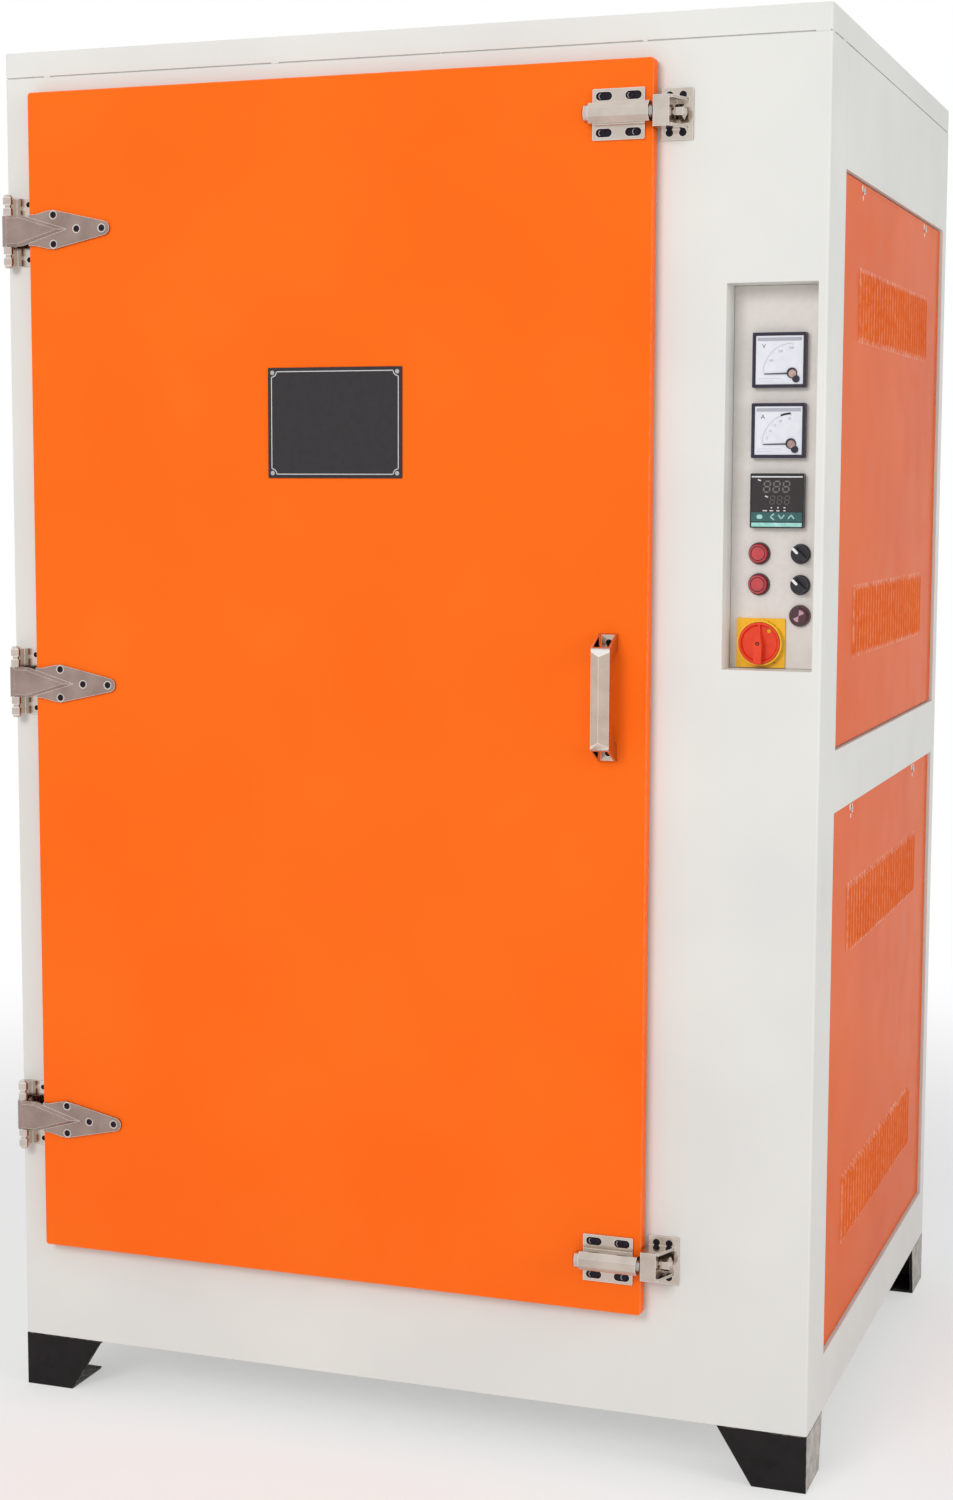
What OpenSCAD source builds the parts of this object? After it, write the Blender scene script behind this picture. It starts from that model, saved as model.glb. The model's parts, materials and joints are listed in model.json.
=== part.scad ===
// Powder coating oven: an insulated sheet steel cabinet on four feet, with one overlay door
// on three strap hinges, two spring latches and a recessed control panel on the right.
// Sizes are in millimetres. X runs to the right, Y to the back and Z up.
// The origin is at the middle of the footprint, on the floor.

/* [Cabinet] */
// Width of the cabinet
body_w = 1200; // [1140:10:1400]
// Depth of the cabinet without the door
body_d = 963; // [800:1:1200]
// Height of the cabinet above its feet
body_h = 1895; // [1880:5:2100]
// Height of the folded lid
cap_h = 36; // [25:1:60]
// Height of the shadow line under the lid
seam_h = 1.5; // [1:0.5:3]
// Depth of the shadow line under the lid
seam_d = 3; // [2:0.5:6]
// Thickness of the folded front panel
front_t = 25; // [15:1:40]
// Bend radius of the front panel's outer corners
bend_r = 4; // [1:0.5:8]
// Thickness of the insulated back wall
back_t = 100; // [60:5:150]
// Thickness of the wall between the oven and the control bay
partition_t = 60; // [40:5:80]
// Thickness of the oven's inner lining
liner_t = 2; // [1:0.5:4]

/* [Feet] */
// Height of each foot
foot_h = 80; // [50:5:150]
// Width of a foot at the top
foot_w = 126; // [80:2:160]
// Width of a foot at the floor
foot_base_w = 76; // [50:2:78]
// Depth of a foot at the top
foot_d = 104; // [80:2:140]
// Depth of a foot at the floor
foot_base_d = 88; // [60:2:90]
// Thickness of the sheet that a foot is folded from
foot_t = 5; // [3:0.5:8]

/* [Side] */
// Thickness of the side frame
side_t = 30; // [20:1:40]
// Width of the front post beside the side panels
post_front_w = 105; // [70:5:160]
// Width of the rear post beside the side panels
post_rear_w = 32; // [24:1:80]
// Height of the rail under the lower panel
rail_low_h = 80; // [50:5:120]
// Height of the lower side panel's opening
panel_low_h = 760; // [700:10:800]
// Height of the rail between the two panels
rail_mid_h = 86; // [50:2:120]
// Height of the upper side panel's opening
panel_up_h = 773; // [700:1:800]
// Gap round each side panel
panel_gap = 2; // [1:0.5:4]
// Depth of a panel's face behind the frame's face
panel_inset = 5; // [4:0.5:8]
// Thickness of a panel's sheet
panel_t = 2; // [1:0.5:3]
// Width of the lip that a panel's rim rests on
lip_w = 12; // [6:1:20]
// Thickness of that lip
lip_t = 3; // [2:0.5:5]

/* [Louvres] */
// Width of a bank of louvres
bank_w = 570; // [300:10:600]
// Height of a louvre
louvre_h = 102; // [60:2:130]
// Distance from one louvre to the next
louvre_pitch = 21; // [16:1:40]
// Width of a louvre's hood
louvre_w = 10; // [6:0.5:13]
// Height of a louvre's hood above the sheet
louvre_rise = 3.5; // [2:0.5:3.5]
// Distance of each bank's middle from the panel's nearer end
bank_end = 168; // [100:2:220]
// Thickness of a louvre's pressed hood
louvre_skin = 1; // [0.5:0.1:2]
// Length over which a louvre's ends slope down to the sheet
louvre_taper = 9; // [3:1:25]

/* [Door] */
// Width of the door
door_w = 923; // [800:1:923]
// Height of the door
door_h = 1685; // [1600:5:1690]
// Thickness of the door's outer pan
door_t = 19; // [15:1:30]
// Radius of the pan's corners
door_r = 5; // [2:1:12]
// Distance of the door's hinge edge from the cabinet's left side
door_x = 48; // [46:1:60]
// Distance of the door's lower edge above the cabinet's underside
door_z = 150; // [120:5:160]
// How far the door laps over the front panel round the opening
door_lap = 50; // [44:1:60]
// Gap between the door and the front panel, which the seal fills
door_gap = 4; // [3:0.5:6]
// Depth of the insulated plug on the back of the door
plug_d = 60; // [30:5:65]
// Gap between the plug and the opening
plug_gap = 10; // [10:1:20]
// Width of the door seal
seal_w = 22; // [12:1:30]
// Clearance between the closed seal and the front panel
seal_clear = 0.3; // [0.2:0.1:0.5]

/* [Hinges] */
// Height of the lowest hinge above the cabinet's underside
hinge_low_z = 345; // [300:5:400]
// Distance from one hinge to the next
hinge_pitch = 648.5; // [500:0.5:650]
// Distance of the hinge pins from the cabinet's left side
hinge_x = 12; // [11:0.5:14]
// Distance of the hinge pins in front of the front panel
hinge_y = 19; // [19:0.5:24]
// Height of a hinge's leaf on the cabinet
leaf_h = 96; // [80:1:120]
// Thickness of that leaf
leaf_t = 3; // [2:0.5:4]
// Height of the strap where it wraps the pin
strap_h = 44; // [30:1:54]
// Reach of the strap from the pin to its tip
strap_l = 166; // [150:1:200]
// Thickness of the strap's plate on the door
strap_t = 4; // [3:0.5:6]
// Height of the strap where it flares
flare_h = 73; // [64:1:90]
// Outer radius of the strap's barrel
barrel_r = 9; // [8:0.5:10]
// Outer radius of the leaf's knuckles
knuckle_r = 7.5; // [6:0.5:8]
// Radius of the hinge pin
pin_r = 4; // [3:0.5:5]
// Clearance round each running pin
pin_clear = 0.05; // [0.02:0.01:0.09]
// Gap between the strap's barrel and the knuckles
knuckle_gap = 0.4; // [0.2:0.1:1]
// Radius of the screw holes in the hinges
hinge_hole_r = 4; // [2.5:0.5:4.5]
// Radius of the strap's round tip
tip_r = 10; // [6:1:14]
// Distance from the pin to the strap's two inner screws
inner_screw_reach = 77; // [60:1:95]
// Distance of those two screws from the strap's middle line
inner_screw_rise = 20.5; // [14:0.5:24]
// Distance from the pin to the strap's middle screw
middle_screw_reach = 114; // [95:1:130]
// Distance from the pin to where the strap's wedge starts to narrow
wedge_start = 24; // [10:1:45]
// Distance from the pin to the point of the wedge
wedge_reach = 98; // [60:1:110]
// Height of the wedge above the strap's plate
wedge_rise = 4.5; // [2:0.5:8]
// Width of the bevel along the wedge's edges
wedge_bevel = 4; // [1:0.5:6]
// Distance of the leaf's screws from its edges
leaf_hole_in = 9; // [6:0.5:14]
// Gap between the leaf and the door's edge
leaf_gap = 3; // [1:0.5:8]
// Radius of the pin's heads
pin_head_r = 6.5; // [4:0.5:8]
// Height of the pin's heads
pin_head_h = 4; // [2:0.5:8]
// Width of the groove round each knuckle
knuckle_groove_w = 5; // [1:0.5:8]
// Depth of that groove
knuckle_groove_d = 2.4; // [0.5:0.1:3]

/* [Latches] */
// Height of the lower latch above the cabinet's underside
latch_low_z = 226; // [200:2:290]
// Height of the upper latch above the cabinet's underside
latch_up_z = 1764; // [1650:2:1766]
// Width of a latch's base plate
latch_w = 71; // [60:1:90]
// Height of a latch's base plate
latch_h = 66; // [60:1:80]
// Thickness of the latch plates
latch_t = 3; // [2:0.5:4]
// Distance from the door's free edge to the base plate
latch_edge = 11; // [6:1:20]
// Outer radius of the spring housing
housing_r = 14; // [12:0.5:16]
// Length of the spring housing
housing_l = 91; // [88:1:110]
// Radius of the plunger
plunger_r = 8; // [5:0.5:9]
// Length of the plunger
plunger_l = 56; // [40:1:66]
// Travel of the plunger
plunger_travel = 6; // [4:0.5:8]
// Gap between the spring housing and the keeper
keeper_gap = 4; // [3:0.5:6]
// Gap between the plunger's tip and the keeper
tip_gap = 0.4; // [0.2:0.1:1]
// Width of the keeper's block
keeper_block_w = 22; // [16:1:30]
// Height of the keeper's block
keeper_block_h = 40; // [30:1:40]
// How far the keeper's block stands in front of the front panel
keeper_proud = 42; // [40:1:50]
// Width of the keeper's plate
keeper_w = 43; // [40:1:50]
// Height of the keeper's plate
keeper_h = 67; // [64:1:80]
// Length of the slots in a latch's base plate
latch_slot_l = 22; // [14:1:28]
// Width of those slots
latch_slot_w = 11; // [5:1:14]
// Distance of the slots from the base plate's middle
latch_slot_x = 20; // [12:1:24]
// Distance of the slots and the keeper's holes from the plates' upper and lower edges
latch_hole_in = 9.5; // [7:0.5:14]
// Length of the narrower cap on the spring housing
housing_cap_l = 9; // [5:1:20]
// Radius of the holes in the keeper's plate
keeper_hole_r = 5; // [2.5:0.5:6]
// Thickness of the keeper's two ribs
keeper_rib_t = 4; // [2:0.5:8]
// How far the ribs run out over the keeper's plate
keeper_rib_run = 16; // [6:1:24]
// Radius of the keeper's adjusting nut, over its corners
nut_r = 10; // [6:0.5:13]
// Length of that nut
nut_l = 12; // [6:1:16]

/* [Handle] */
// Height of the handle's middle above the cabinet's underside
handle_z = 1000; // [700:10:1300]
// Distance of the handle's middle from the door's free edge
handle_edge = 54; // [35:1:90]
// Length of the handle at the door
handle_l = 172; // [140:2:240]
// Length of the grip
grip_l = 114; // [90:2:130]
// Width of the grip
grip_w = 26; // [18:1:34]
// How far the handle stands off the door
handle_proud = 48; // [45:1:60]
// Thickness of the grip from front to back
grip_t = 16; // [12:1:20]
// Radius of the screw holes in the handle's feet
handle_hole_r = 4.5; // [3:0.5:5.5]
// Height of the ridge along the front of the grip
ridge_h = 8; // [1:0.5:10]
// Height of the ledge where a leg meets the grip
ledge_h = 11; // [2:0.5:14]
// Depth of that ledge from front to back
ledge_d = 14; // [6:0.5:20]
// Thickness of the handle's feet
handle_foot_t = 6; // [3:0.5:10]
// Length of a leg along the door
leg_l = 23; // [16:1:32]
// Depth of the two pockets in each leg
pocket_d = 14; // [4:1:16]
// Thickness of the rib between those pockets
pocket_rib_t = 3; // [2:0.5:6]
// Thickness of the wall round those pockets
pocket_wall_t = 2.5; // [1.5:0.5:5]

/* [Nameplate] */
// Width of the bare plate on the door
plate_w = 200; // [120:5:260]
// Height of the bare plate
plate_h = 152; // [80:2:200]
// Thickness of the bare plate
plate_t = 1.5; // [1:0.5:3]
// Distance of the plate's middle from the door's hinge edge
plate_x = 473; // [250:1:600]
// Height of the plate's middle above the cabinet's underside
plate_z = 1367; // [1250:1:1500]

/* [Control panel] */
// Width of the control recess
recess_w = 121; // [115:1:125]
// Height of the control recess
recess_h = 505; // [500:1:600]
// Depth of the control recess
recess_d = 45; // [42:1:60]
// Distance of the recess from the cabinet's right side
recess_edge = 13; // [8:1:14]
// Height of the recess above the cabinet's underside
recess_z = 1040; // [900:5:1200]
// Thickness of the recess tray's sheet
tray_t = 2; // [1:0.5:3]
// Thickness of the mounting plate for the instruments
board_t = 2; // [1:0.5:3]
// Side of the square panel meters and the controller
meter_w = 72; // [60:1:72]
// Height of the meters' bezels above the mounting plate
meter_proud = 11; // [6:1:14]
// Width of a bezel's frame
bezel_w = 3.5; // [2:0.5:6]
// Height of the upper meter's middle above the recess's lower edge
meter_up_z = 407; // [400:1:420]
// Distance from one square instrument to the next
meter_pitch = 92; // [80:1:94]
// Height of the lower row of lamps and selectors above the recess's lower edge
lamp_z = 112; // [110:1:114]
// Distance between the two rows of lamps and selectors
lamp_pitch = 41; // [36:1:42]
// Distance of the lamps from the recess's left side
lamp_x = 39; // [36:1:42]
// Distance of the selectors from the recess's left side
selector_x = 95; // [92:1:98]
// Radius of a pilot lamp's bezel
lamp_r = 15; // [12:0.5:16]
// Radius of a selector's base ring
selector_r = 13.5; // [12:0.5:16]
// Radius of the shafts of the turning knobs
shaft_r = 4; // [3:0.5:5]
// Gap between a turning knob and its base
knob_gap = 0.3; // [0.2:0.1:0.5]
// Width of the main switch's square plate
isolator_w = 66; // [60:1:70]
// Radius of the main switch's knob
isolator_r = 28; // [22:0.5:30]
// Distance of the main switch's middle from the recess's left side
isolator_x = 43; // [35:0.5:55]
// Distance of its plate above the recess's lower edge
isolator_up = 1; // [0.5:0.5:6]
// Thickness of its plate
isolator_plate_t = 3; // [2:0.5:6]
// Height of the ring round its knob
isolator_ring_h = 9; // [7:0.5:14]
// Thickness of that ring at its rim
isolator_ring_t = 2.5; // [1.5:0.5:4]
// Depth of the hollow in its knob
isolator_dish_d = 4; // [1:0.5:6]
// Width of the knob's finger bar at its lower end
isolator_bar_w = 10; // [6:1:16]
// Height of that bar above the knob's rim
isolator_bar_h = 10; // [4:1:16]
// Height of the display above the controller's lower edge
display_z = 21; // [16:0.5:26]
// Height of the controller's display
display_h = 45; // [28:1:48]
// Height of the middle of the controller's keys above its lower edge
key_z = 14.8; // [8:0.2:18]
// Distance from one key to the next
key_pitch = 14; // [10:0.5:16]
// Distance of the square instruments to the right of the recess's middle
meter_shift = 3; // [-8:0.5:10]
// Height of a selector's base ring
base_ring_h = 5; // [3:0.5:8]
// Length of a selector's shaft
shaft_l = 4; // [2:0.5:8]

/* [Hidden] */
$fn = 48;

white = "#DFDFDA";
orange = "#FF6E1A";
chrome = "#C9CBCC";

// The foremost point is the handle's grip, so the origin lies halfway between it and the back
door_face = door_gap + door_t;
front_proud = door_face + handle_proud;
front_y = (front_proud - body_d) / 2;
shell_h = body_h - cap_h;
opening_x = door_x + door_lap;
opening_z = door_z + door_lap;
opening_w = door_w - 2 * door_lap;
opening_h = door_h - 2 * door_lap;
door_edge_x = door_x + door_w;
recess_x = body_w - recess_edge - recess_w;
inner_w = body_w - side_t;
panel_y = post_front_w;
panel_w = body_d - post_front_w - post_rear_w;
panel_up_z = rail_low_h + panel_low_h + rail_mid_h;
// A panel's rim reaches back to the lip
rim_d = side_t - lip_t - panel_inset - panel_t;
// The spring housing lies on its base plate, a little sunk into it
housing_sink = 1.5;
housing_y = -door_face - latch_t - housing_r + housing_sink;
isolator_z = isolator_w / 2 + isolator_up;
// The main switch's knob stands this far above the floor of its ring
isolator_floor = isolator_plate_t + 3;
board_y = recess_d;
tray_right = recess_x + recess_w + tray_t;
tray_back = board_y + board_t + tray_t;
tray_room = 1;
cut = 1;

// Moves its children to the cabinet's lower left front corner, from which places are measured
module from_corner() {
    translate([-body_w / 2, front_y, foot_h])
        children();
}

// Stands a flat outline up, with its back at depth y and its face t nearer to the viewer
module upright(y, t) {
    translate([0, y, 0])
        rotate([90, 0, 0])
            linear_extrude(t)
                children();
}

// A rectangle with round corners, from its lower left corner
module round_rect(w, h, r) {
    translate([r, 0])
        square([w - 2 * r, h]);
    translate([0, r])
        square([w, h - 2 * r]);
    for (x = [r, w - r], y = [r, h - r])
        translate([x, y])
            circle(r);
}

// A slot with round ends, round its middle
module slot(length, width) {
    square([length - width, width], center = true);
    for (side = [-1, 1])
        translate([side * (length - width) / 2, 0])
            circle(width / 2);
}

// A long three-cornered cutter that bevels a front edge at depth y, between two points of an
// outline that runs anticlockwise
module edge_cutter(start, end, y, size) {
    run = end - start;
    translate([start[0], y, start[1]])
        rotate([0, -atan2(run[1], run[0]), 0])
            translate([-size, 0, 0])
                rotate([90, 0, 90])
                    linear_extrude(norm(run) + 2 * size)
                        polygon([[-cut, size + cut], [size + cut, -cut], [-cut, -cut]]);
}

// A folded foot whose outer sides are upright and whose inner sides lean in.
// Turned to its corner by mirroring.
module foot(right, rear) {
    shrink_x = foot_w - foot_base_w;
    shrink_y = foot_d - foot_base_d;
    color("#1C1C1E")
        translate([right * body_w / 2, rear ? front_y + body_d : front_y, 0])
            mirror([right > 0 ? 1 : 0, 0, 0])
                mirror([0, rear ? 1 : 0, 0])
                    difference() {
                        intersection() {
                            translate([0, foot_d, 0])
                                rotate([90, 0, 0])
                                    linear_extrude(foot_d)
                                        polygon([[0, 0], [foot_base_w, 0], [foot_w, foot_h], [0, foot_h]]);
                            rotate([90, 0, 90])
                                linear_extrude(foot_w)
                                    polygon([[0, 0], [foot_base_d, 0], [foot_d, foot_h], [0, foot_h]]);
                        }
                        // The foot is open at the back corner, where its sheet ends
                        translate([foot_t, foot_t, foot_t])
                            cube([foot_w, foot_d, foot_h - 2 * foot_t]);
                    }
}

module foot_front_left() {
    foot(-1, false);
}

module foot_front_right() {
    foot(1, false);
}

module foot_rear_left() {
    foot(-1, true);
}

module foot_rear_right() {
    foot(1, true);
}

module base() {
    color(white)
        from_corner()
            translate([0, front_t, 0])
                cube([inner_w, body_d - front_t, opening_z - liner_t]);
}

// A slab of wall between the base and the ceiling
module wall(x, y, w, d) {
    color(white)
        from_corner()
            translate([x, y, opening_z - liner_t])
                cube([w, d, opening_h + 2 * liner_t]);
}

module left_wall() {
    wall(0, front_t, opening_x - liner_t, body_d - front_t - back_t);
}

module partition_wall() {
    wall(opening_x + opening_w + liner_t, front_t, partition_t - liner_t, body_d - front_t - back_t);
}

module back_wall() {
    wall(0, body_d - back_t, inner_w, back_t);
}

module ceiling() {
    z = opening_z + opening_h + liner_t;
    color(white)
        from_corner()
            translate([0, front_t, z])
                cube([inner_w, body_d - front_t, shell_h - z]);
}

// The folded lid, with a shadow line all round its lower edge
module lid() {
    color(white)
        from_corner() {
            translate([0, 0, shell_h + seam_h])
                linear_extrude(cap_h - seam_h)
                    round_rect(body_w, body_d, bend_r);
            translate([seam_d, seam_d, shell_h])
                cube([body_w - 2 * seam_d, body_d - 2 * seam_d, seam_h]);
        }
}

// The oven's inner lining: a box of thin sheet that is open at the front
module oven_lining() {
    depth = body_d - back_t - front_t;
    color("#B9BDBE")
        from_corner()
            difference() {
                translate([opening_x - liner_t, front_t, opening_z - liner_t])
                    cube([opening_w + 2 * liner_t, depth, opening_h + 2 * liner_t]);
                translate([opening_x, front_t - cut, opening_z])
                    cube([opening_w, depth - liner_t + cut, opening_h]);
            }
}

// The front panel, with the oven's opening and the control recess cut through
module front_panel() {
    color(white)
        from_corner()
            difference() {
                linear_extrude(shell_h) {
                    translate([0, bend_r])
                        square([body_w, front_t - bend_r]);
                    round_rect(body_w, front_t, bend_r);
                }
                translate([opening_x, -cut, opening_z])
                    cube([opening_w, front_t + 2 * cut, opening_h]);
                translate([recess_x, -cut, recess_z])
                    cube([recess_w, front_t + 2 * cut, recess_h]);
            }
}

// The right side: two posts and three rails round two panel openings, with a lip behind each panel
module side_frame() {
    groove = 1.5;
    color(white)
        from_corner()
            difference() {
                translate([inner_w, front_t, 0])
                    cube([side_t, body_d - front_t, shell_h]);
                for (span = [[rail_low_h, panel_low_h], [panel_up_z, panel_up_h]]) {
                    translate([inner_w + lip_t, panel_y, span[0]])
                        cube([side_t, panel_w, span[1]]);
                    translate([inner_w - cut, panel_y + lip_w, span[0] + lip_w])
                        cube([side_t, panel_w - 2 * lip_w, span[1] - 2 * lip_w]);
                }
                // Room behind the front panel for the tray of the control recess
                translate([inner_w - cut, front_t - cut, recess_z - tray_t - tray_room])
                    cube([tray_right + tray_room - inner_w + cut, tray_back + tray_room - front_t + cut,
                          recess_h + 2 * (tray_t + tray_room)]);
                // Seams between the posts and the infill above the upper panel
                for (y = [panel_y, panel_y + panel_w - groove])
                    translate([body_w - groove, y, panel_up_z + panel_up_h - cut])
                        cube([2 * groove, groove, shell_h - panel_up_z - panel_up_h + 2 * cut]);
            }
}

// One louvre's hood: it rises from the sheet to a mouth that faces the back, and its ends slope
// down to the sheet
module louvre_hood() {
    half = louvre_h / 2;
    root = -panel_t / 2;
    intersection() {
        translate([0, 0, -half])
            linear_extrude(louvre_h)
                polygon([[root, 0], [0, 0], [louvre_rise, louvre_w], [root, louvre_w]]);
        translate([0, louvre_w, 0])
            rotate([90, 0, 0])
                linear_extrude(louvre_w)
                    polygon([[root, -half], [0, -half], [louvre_rise, louvre_taper - half],
                             [louvre_rise, half - louvre_taper], [0, half], [root, half]]);
    }
}

// The space under that hood, open through the mouth and through the sheet
module louvre_space() {
    half = louvre_h / 2;
    back = -panel_t - cut;
    top = louvre_rise - louvre_skin;
    start = louvre_skin;
    end = half - louvre_taper * louvre_skin / louvre_rise;
    intersection() {
        translate([0, 0, -half])
            linear_extrude(louvre_h)
                polygon([[back, start], [louvre_rise * start / louvre_w - louvre_skin, start],
                         [top, louvre_w], [top, louvre_w + cut], [0, louvre_w + cut], [0, louvre_w],
                         [back, louvre_w]]);
        translate([0, louvre_w + cut, 0])
            rotate([90, 0, 0])
                linear_extrude(louvre_w + cut)
                    polygon([[back, -end], [0, -end], [top, louvre_taper - half], [top, half - louvre_taper],
                             [0, end], [back, end]]);
    }
}

// Repeats a louvre's part along a bank whose middle is at the given height
module louvre_bank(z) {
    count = floor(bank_w / louvre_pitch);
    start = (panel_w - (count - 1) * louvre_pitch - louvre_w) / 2;
    for (i = [0 : count - 1])
        translate([body_w - panel_inset, panel_y + start + i * louvre_pitch, z])
            children();
}

// A side panel: a shallow tray of sheet with two banks of louvres
module side_panel(z, h) {
    sheet_w = panel_w - 2 * panel_gap;
    sheet_h = h - 2 * panel_gap;
    color(orange)
        from_corner()
            difference() {
                union() {
                    translate([body_w - panel_inset - rim_d - panel_t, panel_y + panel_gap, z + panel_gap])
                        difference() {
                            cube([rim_d + panel_t, sheet_w, sheet_h]);
                            translate([-cut, panel_t, panel_t])
                                cube([rim_d + cut, sheet_w - 2 * panel_t, sheet_h - 2 * panel_t]);
                        }
                    for (bank_z = [z + bank_end, z + h - bank_end])
                        louvre_bank(bank_z)
                            louvre_hood();
                }
                for (bank_z = [z + bank_end, z + h - bank_end])
                    louvre_bank(bank_z)
                        louvre_space();
            }
}

module upper_side_panel() {
    side_panel(panel_up_z, panel_up_h);
}

module lower_side_panel() {
    side_panel(rail_low_h, panel_low_h);
}

// The folded sheet tray that lines the control recess, open at the front
module control_tray() {
    depth = tray_back - tray_t - front_t;
    color(white)
        from_corner()
            difference() {
                translate([recess_x - tray_t, front_t, recess_z - tray_t])
                    cube([recess_w + 2 * tray_t, depth + tray_t, recess_h + 2 * tray_t]);
                translate([recess_x, front_t - cut, recess_z])
                    cube([recess_w, depth + cut, recess_h]);
            }
}

// The plate that carries the instruments, on the back of the tray
module control_board() {
    edge = 0.5;
    color("#D8D2CC")
        from_corner()
            upright(board_y + board_t, board_t)
                translate([recess_x + edge, recess_z + edge])
                    square([recess_w - 2 * edge, recess_h - 2 * edge]);
}

// Moves its children to a place on the mounting plate, with their own Z pointing out of it
module on_board(x, z) {
    from_corner()
        translate([recess_x + x, board_y, recess_z + z])
            rotate([90, 0, 0])
                children();
}

// A square moving-coil meter: a bezel round a sunk dial, with the pointer's hub in its lower right corner
module meter(z) {
    sunk = 2.5;
    hub_r = 7;
    hub_in = 19;
    color("#2A2030")
        on_board(recess_w / 2 + meter_shift, z) {
            difference() {
                translate([-meter_w / 2, -meter_w / 2, 0])
                    linear_extrude(meter_proud)
                        round_rect(meter_w, meter_w, 1.5);
                translate([bezel_w - meter_w / 2, bezel_w - meter_w / 2, meter_proud - sunk])
                    cube([meter_w - 2 * bezel_w, meter_w - 2 * bezel_w, sunk + cut]);
            }
            translate([meter_w / 2 - hub_in, hub_in - meter_w / 2, meter_proud - sunk])
                cylinder(sunk - 0.5, r = hub_r);
        }
}

module upper_meter() {
    meter(meter_up_z);
}

module lower_meter() {
    meter(meter_up_z - meter_pitch);
}

// The temperature controller: a case with a sunk display and four raised keys under it
module controller() {
    sunk = 0.8;
    keys = 4;
    key_w = 9;
    key_h = 8;
    key_t = 0.4;
    case_edge = 1.5;
    key_x = -(keys - 1) * key_pitch / 2 - key_w / 2;
    key_y = key_z - meter_w / 2 - key_h / 2;
    color("#1A1E20")
        on_board(recess_w / 2 + meter_shift, meter_up_z - 2 * meter_pitch) {
            difference() {
                translate([-meter_w / 2, -meter_w / 2, 0])
                    linear_extrude(meter_proud)
                        round_rect(meter_w, meter_w, 2);
                translate([case_edge - meter_w / 2, display_z - meter_w / 2, meter_proud - sunk])
                    cube([meter_w - 2 * case_edge, display_h, sunk + cut]);
            }
            for (i = [0 : keys - 1])
                translate([key_x + i * key_pitch, key_y, meter_proud])
                    linear_extrude(key_t)
                        round_rect(key_w, key_h, 2);
        }
}

// Two pilot lamps: a bezel with a low domed lens
module pilot_lamps() {
    bezel_h = 5;
    lens_h = 6;
    lens_r = lamp_r - 3;
    color("#C8342C")
        for (row = [0, 1])
            on_board(lamp_x, lamp_z + row * lamp_pitch) {
                cylinder(bezel_h, r1 = lamp_r, r2 = lamp_r - 1);
                translate([0, 0, bezel_h])
                    cylinder(lens_h, r1 = lens_r, r2 = lens_r - 2);
            }
}

// The fixed ring of a selector switch, with the bore that its knob turns in
module selector_base(row) {
    color("#202024")
        on_board(selector_x, lamp_z + row * lamp_pitch)
            difference() {
                cylinder(base_ring_h, r1 = selector_r, r2 = selector_r - 0.5);
                translate([0, 0, base_ring_h - shaft_l - knob_gap])
                    cylinder(shaft_l + knob_gap + cut, r = shaft_r + pin_clear);
            }
}

module upper_selector_base() {
    selector_base(1);
}

module lower_selector_base() {
    selector_base(0);
}

// A selector's turning knob: a skirt with a finger bar across it and a shaft behind
module selector_knob(row) {
    skirt_h = 6;
    bar_h = 8;
    bar_w = 7;
    skirt_r = selector_r - 1.5;
    color("#1B1B1D")
        on_board(selector_x, lamp_z + row * lamp_pitch)
            translate([0, 0, base_ring_h + knob_gap]) {
                translate([0, 0, -shaft_l])
                    cylinder(shaft_l, r = shaft_r);
                cylinder(skirt_h, r1 = skirt_r, r2 = skirt_r - 0.8);
                translate([0, 0, skirt_h])
                    rotate(135)
                        linear_extrude(bar_h)
                            slot(2 * skirt_r - 2, bar_w);
            }
}

module upper_selector_knob() {
    selector_knob(1);
}

module lower_selector_knob() {
    selector_knob(0);
}

// The over-temperature alarm: a bezel with a flat lens
module alarm_lamp() {
    bezel_h = 6;
    lens_h = 3;
    color("#4A1420")
        on_board(selector_x, lamp_z - lamp_pitch) {
            cylinder(bezel_h, r1 = lamp_r, r2 = lamp_r - 1.5);
            translate([0, 0, bezel_h])
                cylinder(lens_h, r1 = lamp_r - 3, r2 = lamp_r - 4.5);
        }
}

// The main switch's square plate with its raised ring and the bore for the knob's shaft
module isolator_base() {
    flare = 1;
    bore_floor = 1;
    ring_r = isolator_r + isolator_ring_t;
    color("#F2B21C")
        on_board(isolator_x, isolator_z)
            difference() {
                union() {
                    translate([-isolator_w / 2, -isolator_w / 2, 0])
                        linear_extrude(isolator_plate_t)
                            round_rect(isolator_w, isolator_w, 2);
                    difference() {
                        cylinder(isolator_plate_t + isolator_ring_h, r1 = ring_r + flare, r2 = ring_r);
                        translate([0, 0, isolator_floor])
                            cylinder(isolator_ring_h + cut, r = isolator_r + knob_gap);
                    }
                }
                translate([0, 0, bore_floor])
                    cylinder(isolator_ring_h, r = shaft_r + pin_clear);
            }
}

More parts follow.
